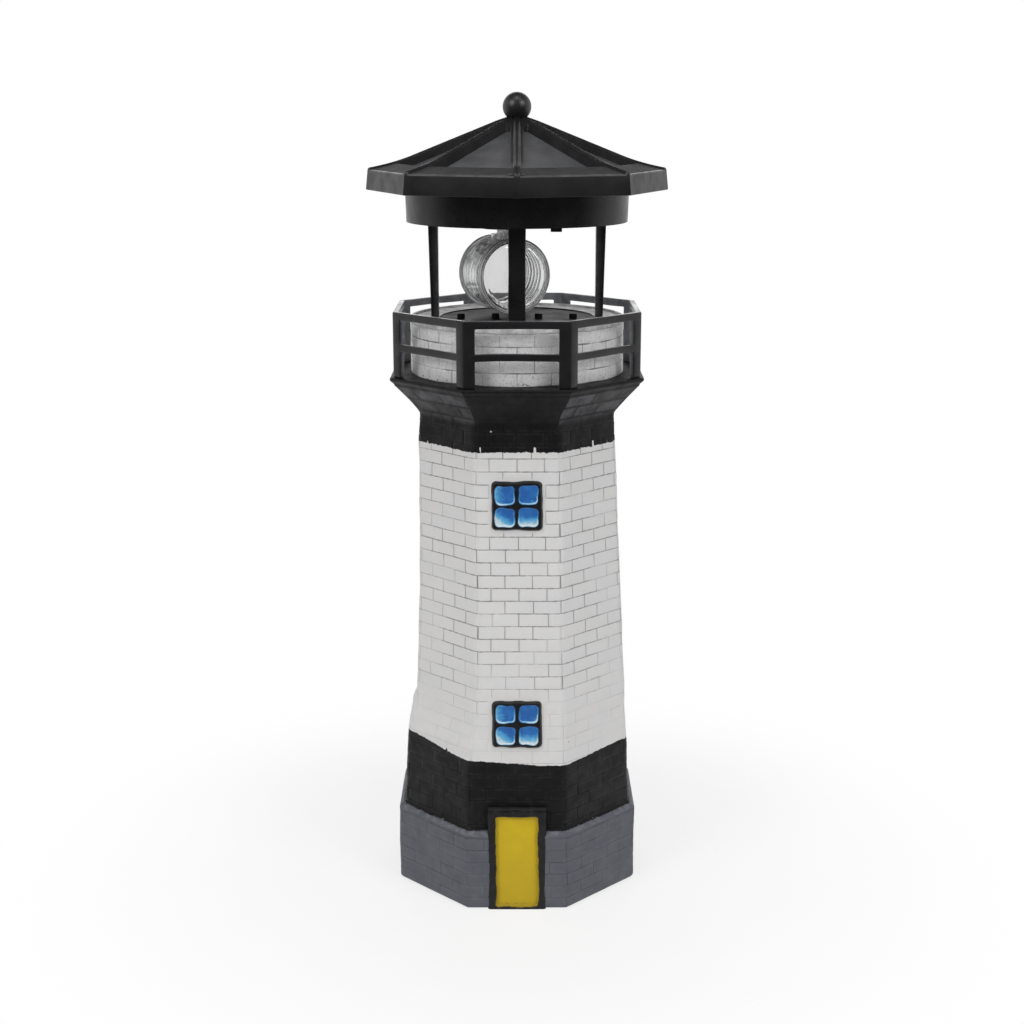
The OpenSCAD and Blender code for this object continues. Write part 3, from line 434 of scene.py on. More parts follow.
def wallProfile():
    # Rows of half width across the flats, height, and how much brick relief the row has
    w = wall
    plinthR, plinthH, footR, neckZ = w["plinthR"], w["plinthH"], w["footR"], w["neckZ"]
    shoulder = plinthH - w["bevelH"]
    foot = rounded([(plinthR - 5, 0), (plinthR, 0), (plinthR, 8)], w["plinthRound"], 6)[1:-1]
    step = rounded([(plinthR, shoulder - 1), (plinthR, shoulder), (plinthR - w["bevelW"], plinthH),
                    (footR, plinthH + 0.3), (footR - 0.05, plinthH + 3)], 0.5, 3)[1:-1]
    lip = rounded([(deckR - 1.4, deckZ - 2.2), (deckR, deckZ - w["edgeH"]), (deckR - 0.3, deckZ),
                   (drumR + 3, deckZ)], 0.45, 3)
    rows = [(r, z, 0.0) for r, z in foot]
    rows += [(plinthR, z, 0.8) for z in courseHeights(w["plinthRound"], shoulder)]
    rows += [(r, z, 0.0) for r, z in step]
    rows += [(wallRadius(z), z, 1.0) for z in courseHeights(plinthH + 0.8, neckZ)]
    rows += [(w["neckR"] - 0.5 * (z - neckZ) / (w["coveZ"] - neckZ), z, 0.9)
             for z in courseHeights(neckZ + 0.1, w["coveZ"] - 0.3)]
    for i in range(1, w["coveRows"]):
        t = i / w["coveRows"]
        flare = t ** 1.25 * (1.12 - 0.12 * t)
        rows.append((w["coveR"] + (deckR - 1.2 - w["coveR"]) * flare,
                     w["coveZ"] + (deckZ - 2.3 - w["coveZ"]) * t, 0.45))
    return rows + [(r, z, 0.0) for r, z in lip]


def jointPlaces(side, course):
    # Where the upright joints of a course lie on a side, from -1 to 1
    odd = course % 2
    if side in (0, 4):
        return [-1 + 2 * (k + 0.5 * odd) / 3 for k in range(4 - odd)]
    fromFront = [-1 + 2 * (k + 0.5 * odd) * wall["jointPitch"] for k in range(3)]
    return fromFront if side in (1, 2, 3) else [-place for place in reversed(fromFront)]


def sideColumns(side):
    # Column places on a side, close together at each joint
    joints = sorted(set(jointPlaces(side, 0) + jointPlaces(side, 1)))
    places = {-1.0, 1.0}
    for joint in joints:
        places.update(joint + offset for offset in (-0.022, -0.011, 0, 0.011, 0.022))
    places = sorted(p for p in places if -1 <= p <= 1)
    filled = [places[0]]
    for place in places[1:]:
        gap = place - filled[-1]
        parts = max(1, math.ceil(gap / 0.07))
        filled += [filled[-1] + gap * i / parts for i in range(1, parts)] + [place]
    return np.array(filled[:-1]), joints


def nearWindow(x, z):
    # 1 on the wall beside a window, falling to 0 at its margin
    mask = np.zeros_like(x)
    for centre in window["heights"].values():
        away = np.maximum(np.abs(x) - window["w"] / 2, np.abs(z - centre) - window["h"] / 2)
        mask = np.maximum(mask, 1 - smoothStep(0, window["margin"], away))
    return mask


def layBricks(side, course, source):
    # For each row and column of a side: its place from -1 to 1, how far the nearest upright joint is,
    # and the chance tone and depth of its brick
    base, joints = sideColumns(side)
    places, toJoint, tint, push = (np.zeros((len(course), len(base))) for _ in range(4))
    for k in range(course.min(), course.max() + 1):
        rows = course == k
        active = np.array(jointPlaces(side, k))
        moves = [0] + [source.uniform(-1, 1) * wall["jitter"] for _ in joints] + [0]
        tones = np.array([source.gauss(0, 1) for _ in range(8)])
        lifts = np.array([source.uniform(-1, 1) for _ in range(8)])
        brick = np.searchsorted(active, base)
        places[rows] = base + np.interp(base, [-1] + joints + [1], moves)
        toJoint[rows] = np.min(np.abs(base[:, None] - active), axis=1)
        tint[rows], push[rows] = tones[brick], lifts[brick]
    return places, toJoint, tint, push


def wallSide(side, profile, source):
    # The points of a side, and the values that its paint uses
    w = wall
    turn = math.radians(-90 + 45 * side)
    radius, height, relief = (np.array(column)[:, None] for column in zip(*profile))
    course = np.floor(height[:, 0] / w["courseH"] + 1e-6).astype(int)
    share = height / w["courseH"] - course[:, None]
    toLine = np.minimum(share, 1 - share) * w["courseH"]
    u, toJoint, tint, push = layBricks(side, course, source)
    toJoint = toJoint * radius * halfSide
    before, here, after = (radius - wallDraw((side + step) % 8, height) for step in (-1, 0, 1))
    left = (here * cornerCos - before) / cornerCos
    right = (after - here * cornerCos) / cornerCos
    reach = left + (u + 1) / 2 * (right - left)
    points = stacked(*swung(here, reach, turn), height)
    fade = 0.55 + 0.45 * smoothStep(-0.9, 0.5, unevenness(points, 16, 11))
    fade *= 1 - 0.6 * smoothStep(92, 62, height) * smoothStep(28, 60, height)
    if side == 0:
        fade *= 1 - nearWindow(points[..., 0], height)
    line = bump(toLine + 0.05 * unevenness(points, 1.7, 5), w["grooveW"])
    groove = np.maximum(line, bump(toJoint, w["grooveW"])) * relief * fade
    nearest = np.minimum(toLine, toJoint)
    out = -w["grooveDepth"] * groove + 0.05 * push * relief * smoothStep(0.1, 0.5, nearest)
    out += 0.09 * unevenness(points, 11, 3) + 0.03 * unevenness(points, 3.2, 9)
    out -= w["cornerCut"] * bump((1 - np.abs(u)) * here * halfSide, w["cornerW"])
    full = here + out * np.maximum(relief, 0.3)
    if side == 0:
        hollow = 1 - smoothStep(w["doorHollowW"], w["doorHollowW"] + w["hollowRun"], np.abs(points[..., 0]))
        hollow *= 1 - smoothStep(w["doorHollowZ"], w["doorHollowZ"] + w["hollowRun"], height)
        full = full - w["doorHollow"] * hollow
    cove = smoothStep(w["coveZ"] - 1, w["coveZ"] + 2, height) * smoothStep(deckZ - 0.2, deckZ - 2.6, height)
    inBrick = smoothStep(0.15, 0.7, toLine) * smoothStep(0.1, 0.6, toJoint)
    values = {
        # edge marks a painted highlight along the raised brick edges
        "groove": groove, "edge": bump(nearest - w["edgeLightAt"], w["edgeLightW"]) * relief, "tint": tint * relief,
        # The cove's side facets, not the front or the back, get a painted sheen on their brick faces
        "dustAndSheen": cove * (side not in (0, 4)) * inBrick * (0.75 + 0.2 * tint),
    }
    return stacked(*swung(full, reach * full / here, turn), height), values


def buildWall():
    profile, source = wallProfile(), random.Random(4)
    sides = [wallSide(side, profile, source) for side in range(8)]
    points = np.concatenate([side for side, _ in sides], axis=1)
    polar = np.arctan2(points[0, :, 1], points[0, :, 0])
    foot, top = aroundAxis(liningFootR, polar, 0), aroundAxis(drumR, polar, deckZ)
    piece = gridPiece("brick_tower", np.concatenate([foot[None], points, top[None]]), closed=True)
    for name in ("groove", "edge", "tint", "dustAndSheen"):
        joined = np.concatenate([values[name] for _, values in sides], axis=1)
        keepValues(piece, name, np.pad(joined, ((1, 1), (0, 0))))
    return piece


def towerPaint():
    # White, black and grey paint, each with its own ragged edge, over the brick relief
    g = Graph("tower_paint")
    x, z = g.axis("X"), g.axis("Z")
    groove, tint = g.stored("groove"), g.stored("tint")

    def above(height, wave, spike, lean=0.0):
        # 1 above a hand-painted line at a height, with a few taller spikes
        slow = g.swing(g.noise(15, 1), wave)
        quick = g.swing(g.noise(1.6, 4, 0.7, (1, 1, 0.4)), spike)
        tall = g.remap(g.noise(1.9, 1, 0.5, (1, 1, 0.15)), 0.7, 0.76, 0, -1.1 * spike * mm)
        bent = g.plus(z, lean, g.plus(slow, quick, tall))
        return g.remap(bent, (height - 0.08) * mm, (height + 0.08) * mm)

    def speck(place, size):
        # 1 within a small irregular speck at a place on the wall
        away = g.add("ShaderNodeVectorMath", operation="DISTANCE")
        g.link(g.place, away.inputs[0])
        away.inputs[1].default_value = [c * mm for c in place]
        ragged = g.plus(away.outputs["Value"], g.swing(g.noise(0.7, 2), size))
        return g.remap(ragged, size * mm, 0.7 * size * mm)

    grain, clouds = g.noise(0.7, 3, 0.65), g.noise(7, 4, 0.6)
    white = g.wash((0.715, 0.708, 0.704), (0.71, 0.69, 0.66), tint, 0.2, 2.4, 0.3)
    white = g.wash(white, (0.66, 0.67, 0.69), tint, 0.2, -2.4, 0.25)
    white = g.wash(white, grey(0.64), clouds, 0.3, 0.75, 0.3)
    white = g.wash(white, grey(0.74), grain, 0.55, 0.8, 0.25)
    white = g.wash(white, (0.225, 0.222, 0.225), groove, 0.08, 0.8, 0.88)
    # Painted highlight: a paler line along the raised brick edges, on the black and the grey paint
    edgeHighlight = g.times(g.stored("edge"), g.remap(g.noise(2.6, 4, 0.7), 0.42, 0.72))
    # Painted sheen on the brick faces of the cove's side facets
    sideSheen = g.times(g.stored("dustAndSheen"), g.remap(g.noise(3.2, 4, 0.7), 0.3, 0.62, 0.25, 1))
    dark = g.wash((0.0045, 0.0045, 0.005), (0.0085, 0.0085, 0.0095), clouds, 0.35, 0.75)
    dark = g.mix(g.times(edgeHighlight, 0.55), dark, (0.035, 0.036, 0.04))
    dark = g.mix(sideSheen, dark, (0.072, 0.069, 0.078))
    dark = g.wash(dark, grey(0.003), groove, 0.1, 0.8, 0.85)
    plinth = g.wash((0.098, 0.104, 0.125), (0.118, 0.123, 0.143), clouds, 0.3, 0.75)
    plinth = g.mix(g.times(edgeHighlight, 0.5), plinth, (0.19, 0.195, 0.21))
    plinth = g.wash(plinth, (0.045, 0.048, 0.06), groove, 0.1, 0.9, 0.75)
    # Painted highlight: the plinth's top edge, which faces up, paler in patches
    plinthTopLight = g.times(g.remap(z, 26.4 * mm, 27.2 * mm), g.remap(g.noise(2, 4), 0.4, 0.65, 0, 0.6))
    plinth = g.mix(plinthTopLight, plinth, (0.19, 0.2, 0.22))

    lean = g.plus(*(g.remap(x, low * mm, high * mm, 0, by * mm) for low, high, by in wall["lowPaintLeans"]))
    colour = g.mix(above(wall["plinthH"] + 0.15, 0.3, 0.5), plinth, dark)
    colour = g.mix(above(wall["lowPaintZ"], 1.0, 1.2, lean), colour, white)
    colour = g.mix(above(wall["highPaintZ"], 0.8, 1.6), colour, dark)
    for *place, size, tone in wall["specks"]:
        colour = g.mix(speck(place, size), colour, grey(tone))
    skin = g.bump(g.noise(1.5, 4, 0.65), 0.07, g.bump(grain, 0.02))
    return g.finish(colour, g.uneven(0.5, 0.68, 4), skin, Specular_IOR_Level=0.3)


tower = finishPiece(buildWall(), "tower", "painted_cast", towerPaint(), "tower_casting")
print("tower wall made", len(tower.data.vertices))

# The round brick drum, with the tower's inner lining
drum = {
    "bore": 31.2, "boreFloor": 182.6, "throatR": 27.8, "bricks": 20, "courses": 4, "round": 0.7,
    "grooveW": 0.2, "grooveDepth": 0.16, "rimW": 0.8, "rimWear": 0.12,
}


def buildDrum():
    d = drum
    courseH = (drumTop - deckZ) / d["courses"]
    heights = sorted(deckZ + (k + place) * courseH for k in range(d["courses"]) for place in rowPlaces)
    crown = rounded([(drumR, drumTop - 1.4), (drumR, drumTop), (d["bore"], drumTop),
                     (d["bore"], drumTop - 3)], d["round"], 4)
    inner = rounded([(d["bore"], d["boreFloor"] + 2), (d["bore"], d["boreFloor"]),
                     (d["throatR"], d["boreFloor"]), (liningFootR, 0)], 0.5, 3)
    profile = [(drumR, z) for z in heights if z < drumTop - 1.2] + crown + inner
    step = math.pi / d["bricks"]
    columns = []
    for k in range(2 * d["bricks"]):
        columns += [k * step + offset for offset in (-0.008, -0.004, 0, 0.004, 0.008)]
        columns += [k * step + step * share for share in (0.3, 0.5, 0.7)]
    angle = np.array(sorted(columns))[None, :]
    radius, height = (np.array(column)[:, None] for column in zip(*profile))
    course = np.floor((height - deckZ) / courseH + 1e-6)
    outer = (radius > drumR - 0.01) & (height <= drumTop)
    along = (height - deckZ) / courseH - course
    share = (angle / (2 * math.pi) * d["bricks"] + 0.5 * (course % 2)) % 1
    toJoint = np.minimum(share, 1 - share) * 2 * math.pi / d["bricks"] * drumR
    points = aroundAxis(radius, angle, height)
    toLine = np.abs(np.minimum(along, 1 - along) * courseH + 0.06 * unevenness(points, 3, 24))
    groove = np.maximum(bump(toLine, d["grooveW"]), 0.75 * bump(toJoint, d["grooveW"]))
    groove = groove * outer * (0.45 + 0.55 * smoothStep(-0.6, 0.9, unevenness(points, 13, 21)))
    full = radius - d["grooveDepth"] * groove + 0.06 * unevenness(points, 6, 22) * outer
    points = aroundAxis(full, angle, height)
    points[..., 2] -= (d["rimWear"] + d["rimWear"] * unevenness(points, 9, 23)) * (
        bump(height - drumTop, d["rimW"]) * outer)
    piece = gridPiece("brick_drum", points, closed=True)
    keepValues(piece, "groove", groove)
    return piece


def drumPaint():
    g = Graph("drum_paint")
    z, groove = g.axis("Z"), g.stored("groove")
    white = g.wash(grey(0.8), (0.6, 0.6, 0.605), g.noise(3.4, 5, 0.7), 0.42, 0.7, 0.6)
    white = g.wash(white, (0.36, 0.355, 0.36), g.noise(0.8, 4, 0.75), 0.5, 0.72, 0.75)
    white = g.wash(white, (0.16, 0.16, 0.17), groove, 0.12, 0.7, 0.9)
    white = g.wash(white, (0.16, 0.16, 0.165), g.noise(1.1, 3, 0.6), 0.68, 0.74, 0.8)
    low = g.remap(z, (deckZ + 1.6) * mm, (deckZ + 0.4) * mm)
    white = g.mix(g.times(g.remap(g.noise(0.9, 2), 0.62, 0.68), low), white, grey(0.014))
    raw = g.wash((0.42, 0.4, 0.37), (0.33, 0.31, 0.29), g.noise(5, 4), 0.35, 0.7)
    colour = g.wash(white, raw, z, (deckZ - 6) * mm, (deckZ - 8) * mm)
    skin = g.bump(g.noise(1.2, 4, 0.65), 0.06, g.bump(g.noise(0.5, 2), 0.02))
    return g.finish(colour, g.uneven(0.42, 0.62, 4), skin)


drumPiece = finishPiece(buildDrum(), "tower", "painted_cast", drumPaint(), "tower_casting")
print("drum made", len(drumPiece.data.vertices))


def reliefPanel(name, across, up, relief, place, skirt):
    # A panel of raised relief whose border turns back into the wall. relief gives how far each point
    # stands out and the values that the paint uses, and place puts the points in the frame.
    u, v = np.meshgrid(across, up)
    out, values = relief(u, v)
    border = np.ones(u.shape, bool)
    border[1:-1, 1:-1] = False
    points = np.pad(place(u, v, np.where(border, -skirt, out)), ((1, 1), (1, 1), (0, 0)), mode="edge")
    points[1:-1, 1:-1] = place(u, v, out)
    piece = gridPiece(name, points)
    for key, value in values.items():
        keepValues(piece, key, np.pad(value, 1, mode="edge"))
    return piece


def boxDistance(u, v, halfW, halfH, radius):
    # Distance outside a rounded rectangle, negative within
    x, y = np.abs(u) - halfW + radius, np.abs(v) - halfH + radius
    outside = np.hypot(np.maximum(x, 0), np.maximum(y, 0))
    return outside + np.minimum(np.maximum(x, y), 0) - radius


# For each pane: the direction in degrees that its paint pales towards, where that starts, how pale it gets
paneGlows = {
    (-1, 1): (190, -0.2, 0.5), (1, 1): (300, 0.1, 0.25),
    (-1, -1): (232, -0.3, 1.0), (1, -1): (268, -0.25, 1.0),
}


def buildWindow(name, centreZ, seed):
    w = window
    source = random.Random(seed)
    paneW = (w["w"] - 2 * w["frame"] - w["bar"]) / 2
    paneH = (w["h"] - 2 * w["frame"] - w["bar"]) / 2
    panes = [(*key, source.uniform(-0.14, 0.14), source.uniform(-0.14, 0.14)) for key in paneGlows]
    tilt = math.atan((wall["footR"] - wall["neckR"]) / (wall["neckZ"] - wall["plinthH"]))

    def relief(u, v):
        points = stacked(u, v, seed)
        outer = boxDistance(u, v, w["w"] / 2 - 0.15, w["h"] / 2 - 0.15, w["cornerR"])
        outer += 0.16 * unevenness(points, 6, seed)
        wander = 0.17 * unevenness(points, 4, seed)
        stand = w["relief"] * (1 - smoothStep(-0.75, 0.05, outer)) - 0.35 * smoothStep(-0.1, 0.4, outer)
        glass, glow = np.zeros_like(u), np.zeros_like(u)
        for i, j, du, dv in panes:
            x = u - i * (paneW + w["bar"]) / 2 - du
            y = v - j * (paneH + w["bar"]) / 2 - dv
            inner = boxDistance(x, y, paneW / 2, paneH / 2, w["paneCornerR"]) + wander
            within = 1 - smoothStep(-0.08, 0.1, inner)
            stand -= w["paneSink"] * (1 - smoothStep(-0.5, 0.15, inner))
            toward, start, strength = paneGlows[i, j]
            across = math.cos(math.radians(toward)) * x / paneW + math.sin(math.radians(toward)) * y / paneH
            lowEdge = smoothStep(0.1, -0.4, y / paneH - 0.5 * x / paneW * (j > 0))
            rim = bump(inner + 0.28, 0.22) * (0.25 + 0.6 * lowEdge)
            glass = np.maximum(glass, within)
            glow += np.clip(strength * smoothStep(start, 0.6, across) + rim, 0, 1) * within
        return stand, {"glass": glass, "glow": glow, "halo": smoothStep(-0.12, 0.06, outer)}

    def place(u, v, out):
        back = -(wallRadius(centreZ) + out * math.cos(tilt) - v * math.sin(tilt))
        return stacked(u, back, centreZ + v * math.cos(tilt) + out * math.sin(tilt))

    across = np.linspace(-w["w"] / 2, w["w"] / 2, w["cells"])
    up = np.linspace(-w["h"] / 2, w["h"] / 2, w["cells"])
    return reliefPanel(name, across, up, relief, place, w["skirt"])


def windowPaint():
    g = Graph("window_paint")
    streak = g.remap(g.noise(1.6, 4, 0.65, (1, 1, 1.4)), 0.3, 0.75, -0.12, 0.14)
    glow = g.plus(g.stored("glow"), streak)
    blue = g.wash((0.013, 0.115, 0.41), (0.02, 0.17, 0.5), g.noise(3, 3), 0.35, 0.7)
    blue = g.wash(blue, (0.09, 0.4, 0.7), glow, 0.05, 0.55)
    blue = g.wash(blue, (0.62, 0.74, 0.78), glow, 0.5, 1.0)
    bars = g.wash((0.006, 0.006, 0.0065), (0.014, 0.014, 0.015), g.noise(1.3, 4), 0.4, 0.75)
    bars = g.wash(bars, (0.035, 0.02, 0.014), g.noise(2.4, 4, 0.7), 0.66, 0.7)
    colour = g.mix(g.stored("glass"), bars, blue)
    colour = g.wash(colour, (0.75, 0.75, 0.76), g.stored("halo"), 0.2, 0.8)
    return g.finish(colour, g.uneven(0.3, 0.5, 2), g.bump(g.noise(1.1, 4, 0.6), 0.07))


windowFinish = windowPaint()
for name, centreZ in window["heights"].items():
    piece = buildWindow(name, centreZ, window["seeds"][name])
    finishPiece(piece, "tower", "painted_cast", windowFinish, "tower_casting")

door = {
    "w": 14.2, "h": 32.6, "frame": 2.7, "sill": 1.0, "recess": 1.5, "faceR": 41.4, "skirt": 5.0,
    "cornerR": 0.7, "outerR": 1.2, "leafCrown": 0.45, "columns": 112, "rows": 190,
}


def buildDoor():
    d = door
    halfW = d["w"] / 2 + d["frame"]
    top = d["sill"] + d["h"] + d["frame"]
    middle = d["sill"] + d["h"] / 2

    def relief(u, v):
        points = stacked(u, v, 0)
        outer = boxDistance(u, v - top / 2 + 2, halfW, top / 2 + 2, d["outerR"])
        inner = boxDistance(u, v - middle, d["w"] / 2, d["h"] / 2, d["cornerR"])
        inner += 0.2 * unevenness(points, 9, 41) + 0.07 * unevenness(points, 2.5, 42)
        stand = -0.35 * smoothStep(-0.9, 0, outer) + 0.05 * unevenness(points, 5, 43)
        leaf = 1 - smoothStep(-0.05, 0.12, inner)
        hollow = (1 - smoothStep(-0.55, 0.25, inner)) * d["recess"]
        crown = d["leafCrown"] * (1 - (u / halfW) ** 2) * leaf
        return np.minimum(stand - hollow + crown, 0), {"leaf": leaf, "shade": bump(inner + 0.15, 0.55)}

    def place(u, v, out):
        return stacked(u, -(d["faceR"] + out), v)

    across, up = np.linspace(-halfW, halfW, d["columns"]), np.linspace(0, top, d["rows"])
    return reliefPanel("door", across, up, relief, place, d["skirt"])


def doorPaint():
    g = Graph("door_paint")
    z = g.axis("Z")
    yellow = g.wash((0.53, 0.375, 0.012), (0.64, 0.46, 0.007), z, 0.0, 34 * mm)
    yellow = g.wash(yellow, (0.55, 0.39, 0.012), g.noise(3.5, 5, 0.6), 0.35, 0.75, 0.6)
    yellow = g.wash(yellow, (0.6, 0.45, 0.03), g.noise(0.8, 3, 0.7), 0.6, 0.8, 0.4)
    yellow = g.mix(g.times(g.stored("shade"), 0.45), yellow, (0.2, 0.14, 0.012))
    # Darker in patches towards the foot of the leaf
    footPatches = g.times(g.remap(g.noise(1.4, 4, 0.7), 0.55, 0.66), g.remap(z, 2.6 * mm, 1.2 * mm))
    yellow = g.mix(footPatches, yellow, (0.1, 0.09, 0.05))
    surround = g.wash((0.0085, 0.0085, 0.009), (0.02, 0.02, 0.021), g.noise(3, 4), 0.4, 0.75)
    surround = g.wash(surround, grey(0.085), g.noise(2.2, 5, 0.75), 0.64, 0.72, 0.8)
    skin = g.bump(g.noise(2.2, 4, 0.6), 0.09, g.bump(g.noise(0.6, 2), 0.02))
    colour = g.mix(g.stored("leaf"), surround, yellow)
    return g.finish(colour, g.uneven(0.36, 0.55, 3), skin, Specular_IOR_Level=0.3)


finishPiece(buildDoor(), "tower", "painted_cast", doorPaint(), "tower_casting")
print("windows and door made")

# The gallery railing: eight panels in one moulding, whose inner faces are paler with a painted reflection
railing = {"t": 1.8, "leg": 3.6, "topH": 2.5, "midZ": 8.8, "midH": 2.3, "round": 0.42, "sag": 0.1}


def buildRailing():
    r = railing
    half, tall, inner = railR * halfSide, railTop - deckZ, railR - r["t"]
    levels = [0, r["midZ"], r["midZ"] + r["midH"], tall - r["topH"], tall]
    made = bmesh.new()
    corners = {}

    def vertex(side, column, level, layer):
        key = ((side + 1) % 8, 0, level, layer) if column == 3 else (side, column, level, layer)
        if key not in corners:
            radius = railR if layer == "out" else inner
            shift = (-radius * halfSide, -half + r["leg"], half - r["leg"])[key[1]]
            x, y = swung(radius, shift, math.radians(-90 + 45 * key[0]))
            corners[key] = made.verts.new((x * mm, y * mm, (deckZ + levels[level]) * mm))
        return corners[key]

    def solid(column, row):
        return 0 <= row < 4 and (column % 3 != 1 or row in (1, 3))

    for side, row, column in np.ndindex(8, 4, 3):
        if not solid(column, row):
            continue
        spots = [(column, row), (column + 1, row), (column + 1, row + 1), (column, row + 1)]
        made.faces.new([vertex(side, *spot, "out") for spot in spots])
        made.faces.new([vertex(side, *spot, "in") for spot in reversed(spots)])
        around = ((column, row - 1), (column + 1, row), (column, row + 1), (column - 1, row))
        for k, neighbour in enumerate(around):
            if not solid(*neighbour):
                a, b = spots[k], spots[(k + 1) % 4]
                made.faces.new([vertex(side, *b, "out"), vertex(side, *a, "out"),
                                vertex(side, *a, "in"), vertex(side, *b, "in")])
    bmesh.ops.recalc_face_normals(made, faces=made.faces)
    long = [e for e in made.edges if e.calc_length() > 5 * mm]
    bmesh.ops.subdivide_edges(made, edges=long, cuts=3, use_grid_fill=True)
    for v in made.verts:
        sag = r["sag"] * float(unevenness(np.array(v.co[:])[None] / mm, 17, 51)[0])
        v.co.z += sag * mm * (0.3 < (v.co.z / mm - deckZ) < tall - 0.3)
    for face in made.faces:
        face.smooth = True
    piece = meshPiece("railing_moulding", made)
    spots = np.array([v.co[:] for v in piece.data.vertices]) / mm
    turns = np.radians(np.arange(8) * 45)
    fromAxis = np.max([swung(spots[:, 0], spots[:, 1], -turn)[0] for turn in turns], axis=0)
    # Painted reflection: the faces towards the axis are paler
    keepValues(piece, "pale", 1.0 * (fromAxis < railR - r["t"] / 2))
    return bevelled(piece, r["round"], 3, 20)


finishPiece(buildRailing(), "tower", "black_plastic", blackRail, "gallery_railing")
print("railing made")

# The gallery floor is black within ringR, with a small bead there, and painted white outside it
gallery = {
    "lip": 0.7, "lipW": 1.0, "plugR": 30.9, "plugInR": 29.3, "plugDepth": 12.4,
    "studR": 1.3, "studH": 1.6, "studY": -3.0, "studX": (-18.7, -7.2, 7.2, 18.7),
    "socketR": 25.2, "socketW": 5.5, "socketDrop": 3.6, "ringR": 25.6, "beadW": 0.8, "beadH": 0.35,
}


def buildFloor():
    g = gallery
    plugFoot, lipR = drumTop - g["plugDepth"], drumR - g["lipW"]
    corners = [(0.01, floorTop), (lipR, floorTop), (lipR, floorTop + g["lip"]), (drumR, floorTop + g["lip"]),
               (drumR, drumTop), (g["plugR"], drumTop), (g["plugR"], plugFoot), (g["plugInR"], plugFoot),
               (g["plugInR"], drumTop + 0.05), (0.01, drumTop + 0.05)]
    places = set(np.linspace(2, drumR - 2, 18)) | set(g["ringR"] + g["beadW"] * np.linspace(-0.6, 0.6, 13))
    across = [(r, floorTop + g["beadH"] * max(0, 1 - ((r - g["ringR"]) * 2 / g["beadW"]) ** 2))
              for r in sorted(places)]
    profile = [corners[0]] + across + rounded(corners[1:], 0.3, 3)
    piece = turned("floor_disc", profile)
    rings = np.array([r if z >= drumTop else 0 for r, z in profile])
    keepValues(piece, "pale", np.repeat(smoothStep(g["ringR"] + 0.1, g["ringR"] + 0.4, rings), turnSteps))
    return piece


def buildStud(name, x):
    g = gallery
    top, foot = floorTop + g["studH"], floorTop - 0.2
    outline = rounded([(0.01, top), (g["studR"], top), (g["studR"], foot)], 0.45, 4)
    return turned(name, outline, (x, g["studY"]), 40)


def buildSocket(name, turn):
    # The block under the floor that holds a post's foot
    g = gallery
    low = Vector((g["socketR"], -g["socketW"] / 2, floorTop - g["socketDrop"]))
    high = Vector((g["plugInR"] + 0.4, g["socketW"] / 2, drumTop + 0.02))
    made = bmesh.new()
    bmesh.ops.create_cube(made, size=1)
    for v in made.verts:
        x, y, z = (lo + (hi - lo) * (c + 0.5) for c, lo, hi in zip(v.co, low, high))
        v.co = Vector((*swung(x, y, turn), z)) * mm
    return bevelled(meshPiece(name, made), 0.3)


finishPiece(buildFloor(), "lantern", "black_plastic", blackFloor, "gallery_floor")
for i, x in enumerate(gallery["studX"], 1):
    finishPiece(buildStud(f"floor_stud_{i}", x), "lantern", "black_plastic", blackFloor, "gallery_floor")
for i in range(4):
    piece = buildSocket(f"post_socket_{i + 1}", math.pi / 2 * i)
    finishPiece(piece, "lantern", "black_plastic", blackFloor, "gallery_floor")

# The edge of a post towards the axis is paler over paleW, with a painted reflection
post = {
    "innerR": 26.2, "w": 5.5, "topT": 3.3, "footT": 2.5, "rows": 26, "round": 0.7, "sway": 0.05,
    "paleW": 1.1, "turns": {"right": 0, "back": 90, "left": 180, "front": 270},
}


def buildPost(name, turn):
    # A tapered post with rounded corners and slightly wavy sides
    p = post
    near, half, height = p["innerR"], p["w"] / 2, housingZ - floorTop
    rows = []
    for i in range(p["rows"] + 1):
        share = i / p["rows"]
        far = near + (p["footT"] + (p["topT"] - p["footT"]) * share)
        corners = [(near, 0), (near, half), (far, half), (far, -half), (near, -half), (near, 0)]
        ring = np.array(rounded(corners, p["round"], 4))[:-1]
        rows.append(stacked(ring[:, 0], ring[:, 1], floorTop + height * share))
    points = np.array(rows)
    points[..., 1] += p["sway"] * unevenness(points, 13, len(name))
    # Painted reflection along the edge towards the axis
    pale = smoothStep(near + p["paleW"], near + 0.2, points[..., 0])
    x, y = swung(points[..., 0], points[..., 1], turn)
    piece = gridPiece(name, stacked(x, y, points[..., 2]), closed=True)
    keepValues(piece, "pale", pale)
    return piece


for name, turn in post["turns"].items():
    piece = buildPost(f"{name}_post", math.radians(turn))
    finishPiece(piece, "lantern", "black_plastic", blackPost, f"post_{name}")

# Pieces with the CAD's own shape and softer edges: body, name and width of the rounding
softPieces = {
    "housing_tray": ("lantern", "housing", 0.3), "battery_cover": ("lantern", "battery_hatch", 0.2),
    "switch_knob": ("switch", "switch_slider", 0.25),
}
for node, (body, name, width) in softPieces.items():
    finishPiece(softened(node, name, width), body, "black_plastic", black, node)
print("floor, posts and housing made")

